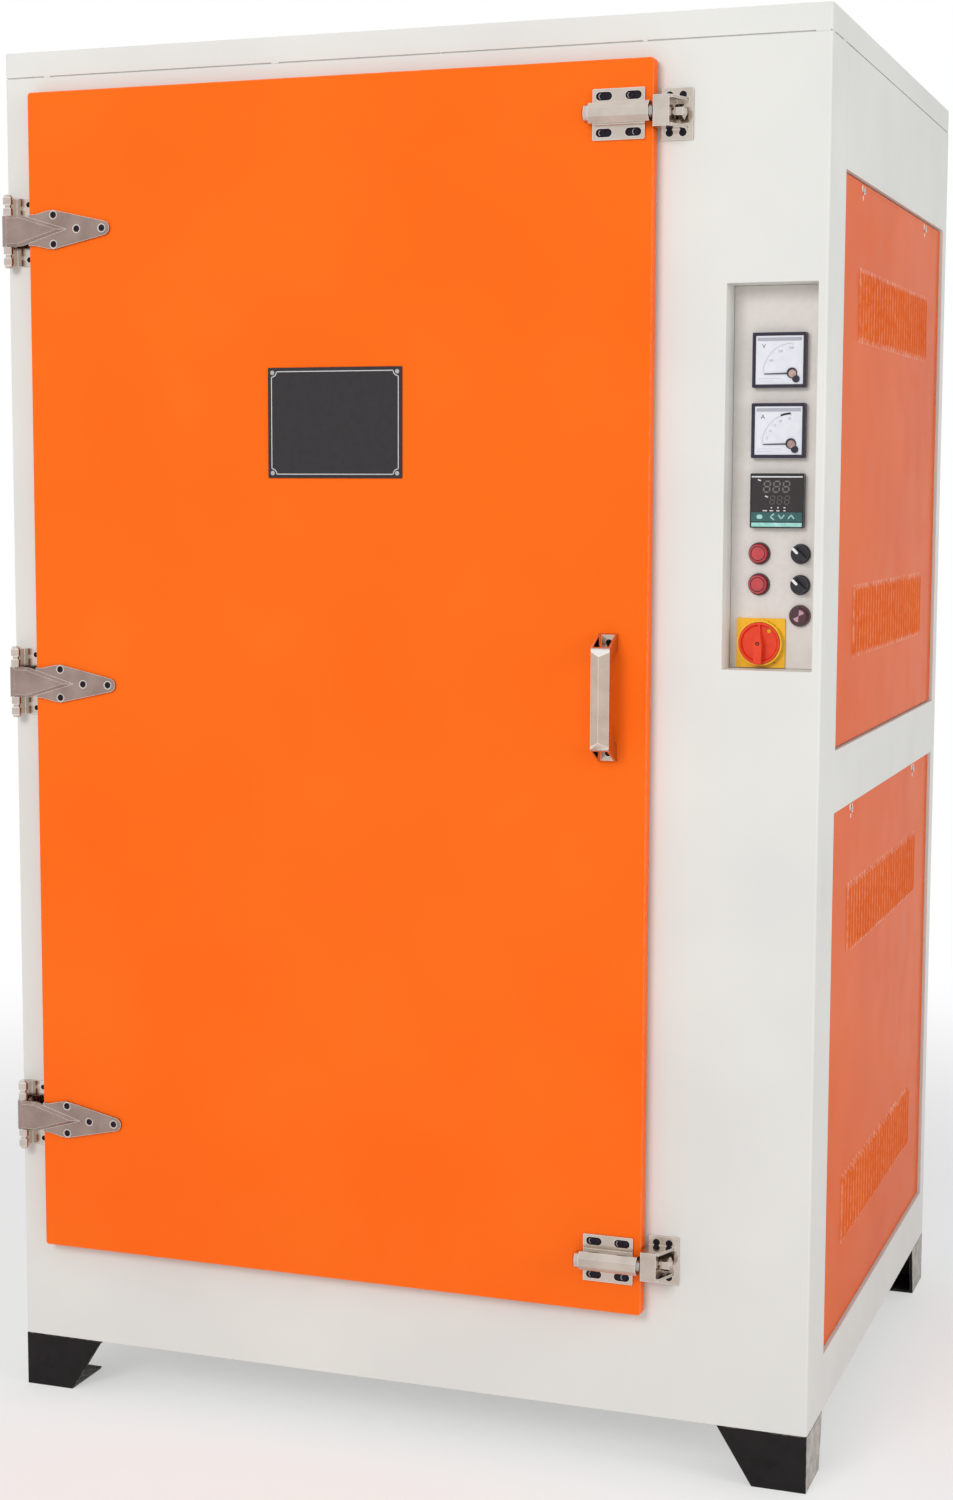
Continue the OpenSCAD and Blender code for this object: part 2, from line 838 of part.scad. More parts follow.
// The main switch's knob: a dished dial with a finger bar that narrows to a pointer at its upper
// end, a hole for a padlock beside it, and a shaft behind
module isolator_knob() {
    dial_h = isolator_ring_h - 2;
    rim_t = 2.5;
    dial_r = isolator_r - knob_gap;
    dish_r = isolator_r - rim_t;
    shaft = isolator_floor + knob_gap - 1.5;
    bar_end = isolator_r - 0.5;
    bar_half = isolator_bar_w / 2;
    bar_top = dial_h + isolator_bar_h;
    waist = bar_half + 1;
    point = 1;
    point_z = bar_end * 0.6;
    hole_r = 3.5;
    color("#E8402A")
        on_board(isolator_x, isolator_z)
            translate([0, 0, isolator_floor + knob_gap])
                difference() {
                    union() {
                        translate([0, 0, -shaft])
                            cylinder(shaft, r = shaft_r);
                        difference() {
                            cylinder(dial_h, r = dial_r);
                            translate([0, 0, dial_h - isolator_dish_d])
                                cylinder(isolator_dish_d + cut, r1 = dish_r - rim_t, r2 = dish_r);
                        }
                        intersection() {
                            linear_extrude(bar_top)
                                polygon([[-bar_half, -bar_end], [bar_half, -bar_end], [waist, 0],
                                         [1.5 * point, point_z], [point, bar_end], [-point, bar_end],
                                         [-1.5 * point, point_z], [-waist, 0]]);
                            // The bar slopes down to its pointed end
                            translate([-isolator_r, 0, 0])
                                rotate([90, 0, 90])
                                    linear_extrude(2 * isolator_r)
                                        polygon([[-bar_end, 0], [bar_end, 0], [bar_end, dial_h],
                                                 [point_z, dial_h + 1], [waist, bar_top],
                                                 [-bar_end, bar_top]]);
                        }
                    }
                    translate([point_z * 0.7, point_z, -cut])
                        cylinder(dial_h + 2 * cut, r = hole_r);
                }
}

// A hinge's leaf on the cabinet: a plate with two grooved knuckles, and the headed pin through them
module hinge_leaf(z) {
    knuckle_h = (leaf_h - strap_h) / 2 - knuckle_gap;
    leaf_x = hinge_x - knuckle_r;
    leaf_w = door_x - leaf_gap - leaf_x;
    hole_z = leaf_h / 2 - leaf_hole_in;
    head_edge = 2;
    color(chrome)
        from_corner()
            translate([0, 0, z]) {
                difference() {
                    upright(0, leaf_t)
                        translate([leaf_x, -leaf_h / 2])
                            round_rect(leaf_w, leaf_h, 4);
                    for (side = [-1, 1])
                        translate([leaf_x + leaf_w - leaf_hole_in, cut, side * hole_z])
                            rotate([90, 0, 0])
                                cylinder(leaf_t + 2 * cut, r = hinge_hole_r);
                }
                for (side = [-1, 1])
                    translate([0, 0, side > 0 ? leaf_h / 2 - knuckle_h : -leaf_h / 2]) {
                        difference() {
                            translate([hinge_x, -hinge_y, 0])
                                cylinder(knuckle_h, r = knuckle_r);
                            translate([hinge_x, -hinge_y, (knuckle_h - knuckle_groove_w) / 2])
                                difference() {
                                    cylinder(knuckle_groove_w, r = knuckle_r + cut);
                                    cylinder(knuckle_groove_w, r = knuckle_r - knuckle_groove_d);
                                }
                        }
                        translate([hinge_x - knuckle_r + knuckle_groove_d, -hinge_y, 0])
                            cube([2 * (knuckle_r - knuckle_groove_d), hinge_y - leaf_t / 2, knuckle_h]);
                    }
                translate([hinge_x, -hinge_y, -leaf_h / 2])
                    cylinder(leaf_h, r = pin_r);
                for (side = [0, 1])
                    translate([hinge_x, -hinge_y, 0])
                        mirror([0, 0, side])
                            translate([0, 0, leaf_h / 2]) {
                                cylinder(pin_head_h / 2, r = pin_head_r);
                                translate([0, 0, pin_head_h / 2])
                                    cylinder(pin_head_h / 2, r1 = pin_head_r, r2 = pin_head_r - head_edge);
                            }
            }
}

module top_hinge_leaf() {
    hinge_leaf(hinge_low_z + 2 * hinge_pitch);
}

module middle_hinge_leaf() {
    hinge_leaf(hinge_low_z + hinge_pitch);
}

module bottom_hinge_leaf() {
    hinge_leaf(hinge_low_z);
}

// A hinge's strap on the door: a barrel on the pin, a bevelled wedge over the door's edge and a
// plate that flares for its two inner screws
module hinge_strap(z) {
    tip_x = hinge_x + strap_l - tip_r;
    tip_screw_in = 2;
    flare_x = hinge_x + inner_screw_reach;
    flare_half = flare_h / 2;
    wedge_y = -door_face - strap_t - wedge_rise;
    side_h = strap_h / 2;
    plate_x = door_x + 1;
    // The plate widens from its neck to a shoulder, and narrows from there to the round tip
    neck_x = flare_x - 29;
    shoulder = [flare_x - 10, flare_half - 3];
    lean = atan2(flare_half - tip_r, tip_x - flare_x);
    join = [tip_x + tip_r * sin(lean), tip_r * cos(lean)];
    wedge = [[hinge_x, -side_h], [hinge_x + wedge_start, -side_h], [hinge_x + wedge_reach, 0],
             [hinge_x + wedge_start, side_h], [hinge_x, side_h]];
    color(chrome)
        from_corner()
            translate([0, 0, z])
                difference() {
                    union() {
                        translate([hinge_x, -hinge_y, -side_h])
                            cylinder(strap_h, r = barrel_r);
                        upright(-door_face, strap_t) {
                            polygon([[plate_x, -side_h], [neck_x, -side_h], [shoulder[0], -shoulder[1]],
                                     [flare_x, -flare_half], [join[0], -join[1]], join,
                                     [flare_x, flare_half], shoulder, [neck_x, side_h], [plate_x, side_h]]);
                            translate([tip_x, 0])
                                circle(tip_r);
                        }
                        difference() {
                            upright(-door_face, strap_t + wedge_rise)
                                polygon(wedge);
                            for (i = [0 : len(wedge) - 1])
                                edge_cutter(wedge[i], wedge[(i + 1) % len(wedge)], wedge_y, wedge_bevel);
                        }
                    }
                    translate([hinge_x, -hinge_y, -strap_h])
                        cylinder(2 * strap_h, r = pin_r + pin_clear);
                    for (p = [[flare_x, inner_screw_rise], [flare_x, -inner_screw_rise],
                              [hinge_x + middle_screw_reach, 0], [tip_x - tip_screw_in, 0]])
                        translate([p[0], -door_face + cut, p[1]])
                            rotate([90, 0, 0])
                                cylinder(strap_t + wedge_rise + 2 * cut, r = hinge_hole_r);
                }
}

module top_hinge_strap() {
    hinge_strap(hinge_low_z + 2 * hinge_pitch);
}

module middle_hinge_strap() {
    hinge_strap(hinge_low_z + hinge_pitch);
}

module bottom_hinge_strap() {
    hinge_strap(hinge_low_z);
}

// The door's outer pan, filled with insulation
module door_pan() {
    color(orange)
        from_corner()
            upright(-door_gap, door_t)
                translate([door_x, door_z])
                    round_rect(door_w, door_h, door_r);
}

// The insulated plug that fills the opening when the door is shut
module door_plug() {
    color("#B9BDBE")
        from_corner()
            translate([opening_x + plug_gap, -door_gap, opening_z + plug_gap])
                cube([opening_w - 2 * plug_gap, plug_d + door_gap, opening_h - 2 * plug_gap]);
}

// The seal round the back of the door, which meets the front panel
module door_seal() {
    inset = door_lap - seal_w - 8;
    color("#8E2A1E")
        from_corner()
            upright(-seal_clear, door_gap - seal_clear)
                difference() {
                    translate([door_x + inset, door_z + inset])
                        square([door_w - 2 * inset, door_h - 2 * inset]);
                    translate([door_x + inset + seal_w, door_z + inset + seal_w])
                        square([door_w - 2 * (inset + seal_w), door_h - 2 * (inset + seal_w)]);
                }
}

// The bare plate on the door, held by four rivets
module door_nameplate() {
    rivet_r = 3;
    rivet_in = 7;
    rivet_x = plate_w / 2 - rivet_in;
    rivet_z = plate_h / 2 - rivet_in;
    color("#202022")
        from_corner()
            translate([door_x + plate_x, 0, plate_z]) {
                upright(-door_face, plate_t)
                    translate([-plate_w / 2, -plate_h / 2])
                        round_rect(plate_w, plate_h, 1.5);
                for (x = [-1, 1], z = [-1, 1])
                    translate([x * rivet_x, -door_face - plate_t, z * rivet_z])
                        rotate([90, 0, 0])
                            cylinder(1, r1 = rivet_r, r2 = rivet_r - 1);
            }
}

// The side view of the handle: feet, sloping legs, ledges and grip in one outline, with its depth
// as the first coordinate
module handle_side() {
    half = handle_l / 2;
    grip_half = grip_l / 2;
    ledge_y = ledge_d - handle_proud;
    grip_back = grip_t - handle_proud;
    // Half of a leg's length at the door lies behind the grip
    inner_z = grip_half - leg_l / 2;
    polygon([[0, -half], [-handle_foot_t, -half], [ledge_y, -grip_half - ledge_h],
             [-handle_proud, -grip_half], [-handle_proud, grip_half], [ledge_y, grip_half + ledge_h],
             [-handle_foot_t, half], [0, half], [0, half - leg_l], [grip_back, inner_z],
             [grip_back, -inner_z], [0, leg_l - half]]);
}

// The section of the grip: a bar with a low roof in front, whose ridge runs along the middle
module handle_section() {
    half = grip_w / 2;
    eaves = ridge_h - handle_proud;
    polygon([[-half, 0], [half, 0], [half, eaves], [0, -handle_proud], [-half, eaves]]);
}

// How far the pockets of a leg reach from the door, at their near and at their far end
function pocket_near() = handle_foot_t + pocket_wall_t;
function pocket_far() = handle_proud - ledge_d - pocket_wall_t;

// The pockets in a leg's outer slope, in the side view
module pocket_side() {
    half = handle_l / 2;
    slope = (half - grip_l / 2 - ledge_h) / (handle_proud - ledge_d - handle_foot_t);
    near_z = half - pocket_d - slope * (pocket_near() - handle_foot_t);
    far_z = half - pocket_d - slope * (pocket_far() - handle_foot_t);
    polygon([[-pocket_near(), half + cut], [-pocket_near(), near_z], [-pocket_far(), far_z],
             [-pocket_far(), half + cut]]);
}

// The same pockets seen along the handle: the rib between them runs from the middle of the ledge
// to the leg's left corner at the door
module pocket_plan() {
    side = grip_w / 2 - pocket_wall_t;
    rib = pocket_rib_t / 2;
    near = pocket_near();
    far = pocket_far();
    polygon([[-side, -far], [-rib, -far], [-side, -near - pocket_rib_t]]);
    polygon([[rib, -far], [side, -far], [side, -near], [pocket_rib_t - side, -near]]);
}

// The pull handle: a ridged grip on two sloping legs. Each leg has two pockets with a rib between
// them, and a hole from the door's side into the larger pocket for its screw
module door_handle() {
    half = handle_l / 2;
    hole_in = 12;
    hole_x = pocket_rib_t;
    color(chrome)
        from_corner()
            translate([door_edge_x - handle_edge, -door_face, handle_z])
                difference() {
                    intersection() {
                        translate([-grip_w / 2, 0, 0])
                            rotate([90, 0, 90])
                                linear_extrude(grip_w)
                                    handle_side();
                        translate([0, 0, -half])
                            linear_extrude(handle_l)
                                handle_section();
                    }
                    for (side = [0, 1])
                        mirror([0, 0, side]) {
                            intersection() {
                                translate([-grip_w / 2, 0, 0])
                                    rotate([90, 0, 90])
                                        linear_extrude(grip_w)
                                            pocket_side();
                                linear_extrude(half + cut)
                                    pocket_plan();
                            }
                            translate([hole_x, cut, half - hole_in])
                                rotate([90, 0, 0])
                                    cylinder(pocket_near() + 2 * cut, r = handle_hole_r);
                        }
                }
}

// A latch on the door: a slotted base plate with an eight-sided spring housing on it, bored for
// the plunger, and a narrower cap on the housing's closed end
module latch(z) {
    plate_r = door_edge_x - latch_edge;
    sides = 8;
    cap_edge = 3;
    bore_l = plunger_l + plunger_travel;
    color(chrome)
        from_corner()
            translate([0, 0, z])
                difference() {
                    union() {
                        difference() {
                            upright(-door_face, latch_t)
                                translate([plate_r - latch_w, -latch_h / 2])
                                    round_rect(latch_w, latch_h, 2);
                            for (x = [-1, 1], side = [-1, 1])
                                upright(-door_face + cut, latch_t + 2 * cut)
                                    translate([plate_r - latch_w / 2 + x * latch_slot_x,
                                               side * (latch_h / 2 - latch_hole_in)])
                                        slot(latch_slot_l, latch_slot_w);
                        }
                        translate([door_edge_x, housing_y, 0])
                            rotate([0, -90, 0])
                                rotate(180 / sides)
                                    cylinder(housing_l - housing_cap_l, r = housing_r, $fn = sides);
                        translate([door_edge_x - housing_l + housing_cap_l, housing_y, 0])
                            rotate([0, -90, 0]) {
                                cylinder(housing_cap_l - cap_edge, r = housing_r - 2);
                                translate([0, 0, housing_cap_l - cap_edge])
                                    cylinder(cap_edge, r1 = housing_r - 2, r2 = housing_r - 2 - cap_edge);
                            }
                        // The saddle between the plate and the housing
                        translate([plate_r - latch_w, housing_y, housing_sink - housing_r])
                            cube([latch_w, -door_face - housing_y, 2 * (housing_r - housing_sink)]);
                    }
                    translate([door_edge_x - bore_l, housing_y, 0])
                        rotate([0, 90, 0])
                            cylinder(bore_l + cut, r = plunger_r + pin_clear);
                }
}

module upper_latch() {
    latch(latch_up_z);
}

module lower_latch() {
    latch(latch_low_z);
}

// A latch's spring plunger, with a tapered tip that stands in the gap before the keeper
module plunger(z) {
    tip = keeper_gap - tip_gap;
    tip_edge = 2;
    color("#8A8C8E")
        from_corner()
            translate([door_edge_x - plunger_l, housing_y, z])
                rotate([0, 90, 0]) {
                    cylinder(plunger_l, r = plunger_r);
                    translate([0, 0, plunger_l])
                        cylinder(tip, r1 = plunger_r, r2 = plunger_r - tip_edge);
                }
}

module upper_plunger() {
    plunger(latch_up_z);
}

module lower_plunger() {
    plunger(latch_low_z);
}

// A keeper on the cabinet: a plate with a block that overhangs it, two ribs behind the block and
// an adjusting screw with its nut between them
module keeper(z) {
    block_x = door_edge_x + keeper_gap;
    overhang = 1;
    plate_left = block_x + overhang;
    rib_x = block_x + keeper_block_w;
    hole_x = [11, 29];
    rib_top = 4;
    screw_r = 5;
    screw_y = -latch_t - nut_r - 4;
    nut_gap = 3;
    nut_edge = 3;
    color(chrome)
        from_corner()
            translate([0, 0, z]) {
                difference() {
                    upright(0, latch_t)
                        translate([plate_left, -keeper_h / 2])
                            round_rect(keeper_w, keeper_h, 2);
                    for (x = hole_x, side = [-1, 1])
                        translate([plate_left + x, cut, side * (keeper_h / 2 - latch_hole_in)])
                            rotate([90, 0, 0])
                                cylinder(latch_t + 2 * cut, r = keeper_hole_r);
                }
                difference() {
                    translate([block_x, -keeper_proud, -keeper_block_h / 2])
                        cube([keeper_block_w, keeper_proud - latch_t / 2, keeper_block_h]);
                    translate([block_x - cut, -latch_t, -keeper_block_h])
                        cube([overhang + cut, keeper_proud, 2 * keeper_block_h]);
                }
                for (side = [-1, 1])
                    translate([rib_x, 0, side > 0 ? keeper_block_h / 2 - keeper_rib_t : -keeper_block_h / 2])
                        linear_extrude(keeper_rib_t)
                            polygon([[-1, -latch_t / 2], [keeper_rib_run, -latch_t / 2],
                                     [keeper_rib_run, -latch_t - 1], [3, rib_top - keeper_proud],
                                     [-1, rib_top - keeper_proud]]);
                translate([rib_x - 1, screw_y, 0])
                    rotate([0, 90, 0]) {
                        cylinder(nut_gap + 1, r = screw_r);
                        translate([0, 0, nut_gap])
                            cylinder(nut_l, r = nut_r, $fn = 6);
                        translate([0, 0, nut_gap + nut_l])
                            cylinder(nut_edge, r1 = nut_r - nut_edge, r2 = nut_r - 2 * nut_edge);
                    }
            }
}

module upper_keeper() {
    keeper(latch_up_z);
}

module lower_keeper() {
    keeper(latch_low_z);
}

foot_front_left();
foot_front_right();
foot_rear_left();
foot_rear_right();
base();
left_wall();
partition_wall();
back_wall();
ceiling();
lid();
oven_lining();
front_panel();
side_frame();
upper_side_panel();
lower_side_panel();
control_tray();
control_board();
upper_meter();
lower_meter();
controller();
pilot_lamps();
upper_selector_base();
lower_selector_base();
alarm_lamp();
isolator_base();
upper_selector_knob();
lower_selector_knob();
isolator_knob();
top_hinge_leaf();
middle_hinge_leaf();
bottom_hinge_leaf();
upper_keeper();
lower_keeper();
door_pan();
door_plug();
door_seal();
door_nameplate();
door_handle();
top_hinge_strap();
middle_hinge_strap();
bottom_hinge_strap();
upper_latch();
lower_latch();
upper_plunger();
lower_plunger();
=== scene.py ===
import json
import math

import bmesh
import bpy
from mathutils import Matrix, Vector

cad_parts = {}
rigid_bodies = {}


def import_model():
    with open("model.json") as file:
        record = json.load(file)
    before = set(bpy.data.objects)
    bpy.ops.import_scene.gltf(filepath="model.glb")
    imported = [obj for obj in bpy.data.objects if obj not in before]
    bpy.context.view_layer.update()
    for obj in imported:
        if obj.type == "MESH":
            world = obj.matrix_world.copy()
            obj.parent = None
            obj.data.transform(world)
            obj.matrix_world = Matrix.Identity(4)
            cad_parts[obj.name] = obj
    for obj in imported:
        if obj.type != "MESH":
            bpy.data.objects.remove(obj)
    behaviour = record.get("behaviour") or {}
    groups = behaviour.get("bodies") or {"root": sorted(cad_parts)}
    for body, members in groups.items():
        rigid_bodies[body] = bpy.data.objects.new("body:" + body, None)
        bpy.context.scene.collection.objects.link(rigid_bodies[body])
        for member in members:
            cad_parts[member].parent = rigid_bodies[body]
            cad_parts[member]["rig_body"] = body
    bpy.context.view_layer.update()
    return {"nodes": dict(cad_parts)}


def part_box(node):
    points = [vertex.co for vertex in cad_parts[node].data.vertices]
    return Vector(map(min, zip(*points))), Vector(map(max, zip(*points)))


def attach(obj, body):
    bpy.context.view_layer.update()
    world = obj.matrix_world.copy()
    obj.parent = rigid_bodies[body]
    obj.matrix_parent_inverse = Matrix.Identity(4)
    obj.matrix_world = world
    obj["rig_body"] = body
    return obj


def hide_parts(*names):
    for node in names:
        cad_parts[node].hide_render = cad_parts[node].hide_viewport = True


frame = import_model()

MM = 0.001

# The camera's place in metres, its turn, tilt and roll in degrees, and its lens in millimetres
CAMERA_PLACE = (1.2315, -3.5697, 1.3625)
CAMERA_TURN = 19.56
CAMERA_TILT = 6.26
CAMERA_ROLL = 0.19
LENS = 58.0

# Strength of the even light that falls on the object from all round
EVEN_LIGHT = 0.62
# Share of its own white in the floor that the camera sees, and where it fades to white, from its middle
FLOOR_WHITE = 0.45
FADE_FROM = 1.2
FADE_TO = 3.2

# Frames for parts that lie on the front or on the right side: X to the right, Y up, Z outwards
ON_FRONT = Matrix(((1, 0, 0, 0), (0, 0, -1, 0), (0, 1, 0, 0), (0, 0, 0, 1)))
ON_SIDE = Matrix(((0, 0, 1, 0), (1, 0, 0, 0), (0, 1, 0, 0), (0, 0, 0, 1)))


# Camera, floor and light


def set_camera():
    """Stands the camera where the picture was taken from."""
    turn = math.radians(CAMERA_TURN)
    tilt = math.radians(CAMERA_TILT)
    ahead = Vector((-math.sin(turn) * math.cos(tilt), math.cos(turn) * math.cos(tilt), -math.sin(tilt)))
    right = Vector((math.cos(turn), math.sin(turn), 0))
    axes = Matrix((right, right.cross(ahead), -ahead)).transposed()
    camera = bpy.data.objects.new("camera", bpy.data.cameras.new("camera"))
    camera.data.lens = LENS
    camera.data.sensor_fit = "VERTICAL"
    camera.data.sensor_height = 36
    roll = Matrix.Rotation(math.radians(CAMERA_ROLL), 4, "Z")
    camera.matrix_world = Matrix.Translation(CAMERA_PLACE) @ axes.to_4x4() @ roll
    bpy.context.scene.collection.objects.link(camera)
    bpy.context.scene.camera = camera
    bpy.context.scene.view_settings.view_transform = "Standard"


def linear(colour):
    """An sRGB hex colour as linear red, green, blue and alpha."""
    parts = [int(colour[i:i + 2], 16) / 255 for i in (1, 3, 5)]
    return [p / 12.92 if p <= 0.04045 else ((p + 0.055) / 1.055) ** 2.4 for p in parts] + [1.0]


def add(tree, kind, inputs=None, **settings):
    """Adds a node with its settings. Each input takes a value, a hex colour or another node's output."""
    node = tree.nodes.new("ShaderNode" + kind)
    for name, value in settings.items():
        setattr(node, name, value)
    for name, value in (inputs or {}).items():
        if isinstance(value, bpy.types.NodeSocket):
            tree.links.new(value, node.inputs[name])
        elif isinstance(value, str):
            node.inputs[name].default_value = linear(value)
        else:
            node.inputs[name].default_value = value
    return node


def background_rays(tree):
    """1 for the rays that see the white background: from the camera, mirrored in the gloss and the metal,
    or passed through glass."""
    path = add(tree, "LightPath")
    mirrored = add(tree, "Math", {0: path.outputs["Is Camera Ray"], 1: path.outputs["Is Glossy Ray"]},
                   operation="MAXIMUM")
    shown = add(tree, "Math", {0: mirrored.outputs[0], 1: path.outputs["Is Transmission Ray"]},
                operation="MAXIMUM")
    return shown.outputs[0]


def set_world():
    """A soft studio: even light on the object, before a white background."""
    world = bpy.data.worlds.new("studio")
    world.use_nodes = True
    bpy.context.scene.world = world
    tree = world.node_tree
    tree.nodes.clear()
    even = add(tree, "Background", {"Color": "#F7F8FA", "Strength": EVEN_LIGHT})
    white = add(tree, "Background", {"Color": "#FFFFFF", "Strength": 1.0})
    seen = add(tree, "MixShader", {0: background_rays(tree), 1: even.outputs[0], 2: white.outputs[0]})
    add(tree, "OutputWorld", {"Surface": seen.outputs[0]})


def lay_floor():
    """A pale floor that keeps the oven's shadow and fades into the white background."""
    bpy.ops.mesh.primitive_circle_add(vertices=96, radius=14, fill_type="NGON")
    floor = bpy.context.object
    floor.name = "floor"
    material = bpy.data.materials.new("pale_studio_floor")
    material.use_nodes = True
    tree = material.node_tree
    tree.nodes.clear()
    away = add(tree, "VectorMath", {0: add(tree, "TexCoord").outputs["Object"]}, operation="LENGTH")
    far = add(tree, "MapRange", {"Value": away.outputs["Value"], "From Min": FADE_FROM,
                                 "From Max": FADE_TO}, interpolation_type="SMOOTHSTEP")
    paint = add(tree, "BsdfDiffuse", {"Color": "#F2F2F0"})
    glow = add(tree, "Emission", {"Color": "#FFFFFF", "Strength": 1.0})
    lifted = add(tree, "MixShader", {0: FLOOR_WHITE, 1: paint.outputs[0], 2: glow.outputs[0]})
    faded = add(tree, "MixShader", {0: far.outputs[0], 1: lifted.outputs[0], 2: glow.outputs[0]})
    surface = add(tree, "MixShader", {0: background_rays(tree), 1: paint.outputs[0], 2: faded.outputs[0]})
    add(tree, "OutputMaterial", {"Surface": surface.outputs[0]})
    floor.data.materials.append(material)


def hang_lamp(name, place, aim, width, height, power):
    """A soft rectangular lamp."""
    lamp = bpy.data.objects.new(name, bpy.data.lights.new(name, "AREA"))
    lamp.data.shape = "RECTANGLE"
    lamp.data.size = width
    lamp.data.size_y = height
    lamp.data.energy = power
    lamp.location = place
    lamp.rotation_euler = (Vector(aim) - Vector(place)).to_track_quat("-Z", "Y").to_euler()
    # The white room shines in the metal, not the lamps
    lamp.visible_glossy = False
    bpy.context.scene.collection.objects.link(lamp)


# Finishes


def finish(name, colour, roughness, metallic=0.0, **more):
    """A new finish: returns its material, node tree and shader."""
    material = bpy.data.materials.new(name)
    material.use_nodes = True
    tree = material.node_tree
    shader = tree.nodes["Principled BSDF"]
    shader.inputs["Base Color"].default_value = linear(colour)
    shader.inputs["Roughness"].default_value = roughness
    shader.inputs["Metallic"].default_value = metallic
    for socket, value in more.items():
        shader.inputs[socket.replace("_", " ")].default_value = value
    return material, tree, shader


def patches(tree, size, low, high, stretch=(1, 1, 1), detail=3.0):
    """A value that wanders from low to high over patches of the given size in metres."""
    place = add(tree, "Mapping", {"Vector": add(tree, "TexCoord").outputs["Object"], "Scale": stretch})
    noise = add(tree, "TexNoise", {"Vector": place.outputs[0], "Scale": 1 / size, "Detail": detail})
    spread = add(tree, "MapRange", {"Value": noise.outputs[0], "From Min": 0.3, "From Max": 0.7,
                                    "To Min": low, "To Max": high})
    return spread.outputs[0]


def relief(tree, shader, *layers):
    """Stacks bump layers on the shader. Each layer is a height from 0 to 1 and its depth in metres."""
    normal = None
    for height, depth in layers:
        inputs = {"Height": height, "Distance": depth, "Strength": 1.0}
        if normal:
            inputs["Normal"] = normal
        normal = add(tree, "Bump", inputs).outputs[0]
    tree.links.new(normal, shader.inputs["Normal"])


def outer_edges(tree, width):
    """A mask that is 1 along edges, within the given width in metres."""
    soft = add(tree, "Bevel", {"Radius": width}, samples=6)
    flat = add(tree, "NewGeometry")
    alike = add(tree, "VectorMath", {0: soft.outputs[0], 1: flat.outputs["True Normal"]},
                operation="DOT_PRODUCT")
    mask = add(tree, "MapRange", {"Value": alike.outputs["Value"], "From Min": 0.995, "From Max": 0.93})
    return mask.outputs[0]


def powder_coat(name, colour, shaded, roughness, wave, peel, pale_edge_wear_and_highlight, wear, **more):
    """Powder coated sheet steel. The cured powder leaves an orange peel, drawn here at 5 mm, and the
    sheet's own waves, about 200 mm long, bend the reflections. Edges are painted paler in patches, partly as
    rubbed wear and partly as a painted highlight."""
    material, tree, shader = finish(name, colour, roughness, **more)
    tone = patches(tree, 0.25, 0.0, 1.0, detail=2.0)
    coat = add(tree, "Mix", {0: tone, 6: colour, 7: shaded}, data_type="RGBA")
    # The pale patches along the edges are partly rubbed wear and partly a painted edge highlight
    rubbed = add(tree, "Math", {0: outer_edges(tree, wear), 1: patches(tree, 12 * MM, 0.0, 0.8)},
                 operation="MULTIPLY")
    seen = add(tree, "Mix", {0: rubbed.outputs[0], 6: coat.outputs[2], 7: pale_edge_wear_and_highlight}, data_type="RGBA")
    tree.links.new(seen.outputs[2], shader.inputs["Base Color"])
    tree.links.new(patches(tree, 60 * MM, roughness - 0.05, roughness + 0.06), shader.inputs["Roughness"])
    relief(tree, shader,
           (patches(tree, 0.2, 0.0, 1.0, detail=1.0), wave),
           (patches(tree, 5 * MM, 0.0, 1.0, detail=1.0), peel))
    return material


def plated_zinc(name, colour, shaded, roughness, grain, edge):
    """Die-cast zinc, polished and chrome plated, with faint polishing lines along the piece. Its edges are
    given a paler colour, a painted highlight along the rounded edges."""
    material, tree, shader = finish(name, colour, roughness, metallic=1.0)
    lines = patches(tree, 2.5 * MM, 0.0, 1.0, stretch=grain, detail=4.0)
    plate = add(tree, "Mix", {0: patches(tree, 30 * MM, 0.0, 1.0), 6: colour, 7: shaded}, data_type="RGBA")
    # The paler edge colour is a painted highlight along the rounded edges
    painted_edge_highlight = add(tree, "Mix", {0: outer_edges(tree, 1.2 * MM), 6: plate.outputs[2], 7: edge},
                 data_type="RGBA")
    tree.links.new(painted_edge_highlight.outputs[2], shader.inputs["Base Color"])
    tree.links.new(patches(tree, 14 * MM, roughness - 0.03, roughness + 0.04), shader.inputs["Roughness"])
    relief(tree, shader, (lines, 0.002 * MM))
    return material


def moulded(name, colour, roughness, shaded=None, **more):
    """A small moulded, printed or turned piece, with a fine grain drawn at 1.2 mm so that it shows."""
    material, tree, shader = finish(name, colour, roughness, **more)
    tone = patches(tree, 9 * MM, 0.0, 1.0)
    mould = add(tree, "Mix", {0: tone, 6: colour, 7: shaded or colour}, data_type="RGBA")
    tree.links.new(mould.outputs[2], shader.inputs["Base Color"])
    tree.links.new(patches(tree, 5 * MM, roughness - 0.04, roughness + 0.05), shader.inputs["Roughness"])
    relief(tree, shader, (patches(tree, 1.2 * MM, 0.0, 1.0), 0.01 * MM))
    return material


def galvanised_steel():
    """Aluminised sheet of the lining: cold grey with a faint spangle about 8 mm across."""
    material, tree, shader = finish("galvanised_steel", "#A9ADAF", 0.42, metallic=1.0)
    place = add(tree, "TexCoord").outputs["Object"]
    spangle = add(tree, "TexVoronoi", {"Vector": place, "Scale": 1 / (8 * MM)})
    flecks = add(tree, "MapRange", {"Value": spangle.outputs["Distance"], "To Min": 0.0, "To Max": 1.0})
    sheet = add(tree, "Mix", {0: flecks.outputs[0], 6: "#B4B8BA", 7: "#8F9496"}, data_type="RGBA")
    tree.links.new(sheet.outputs[2], shader.inputs["Base Color"])
    tree.links.new(patches(tree, 30 * MM, 0.34, 0.52), shader.inputs["Roughness"])
    relief(tree, shader, (patches(tree, 0.3, 0.0, 1.0, detail=1.0), 0.6 * MM))
    return material


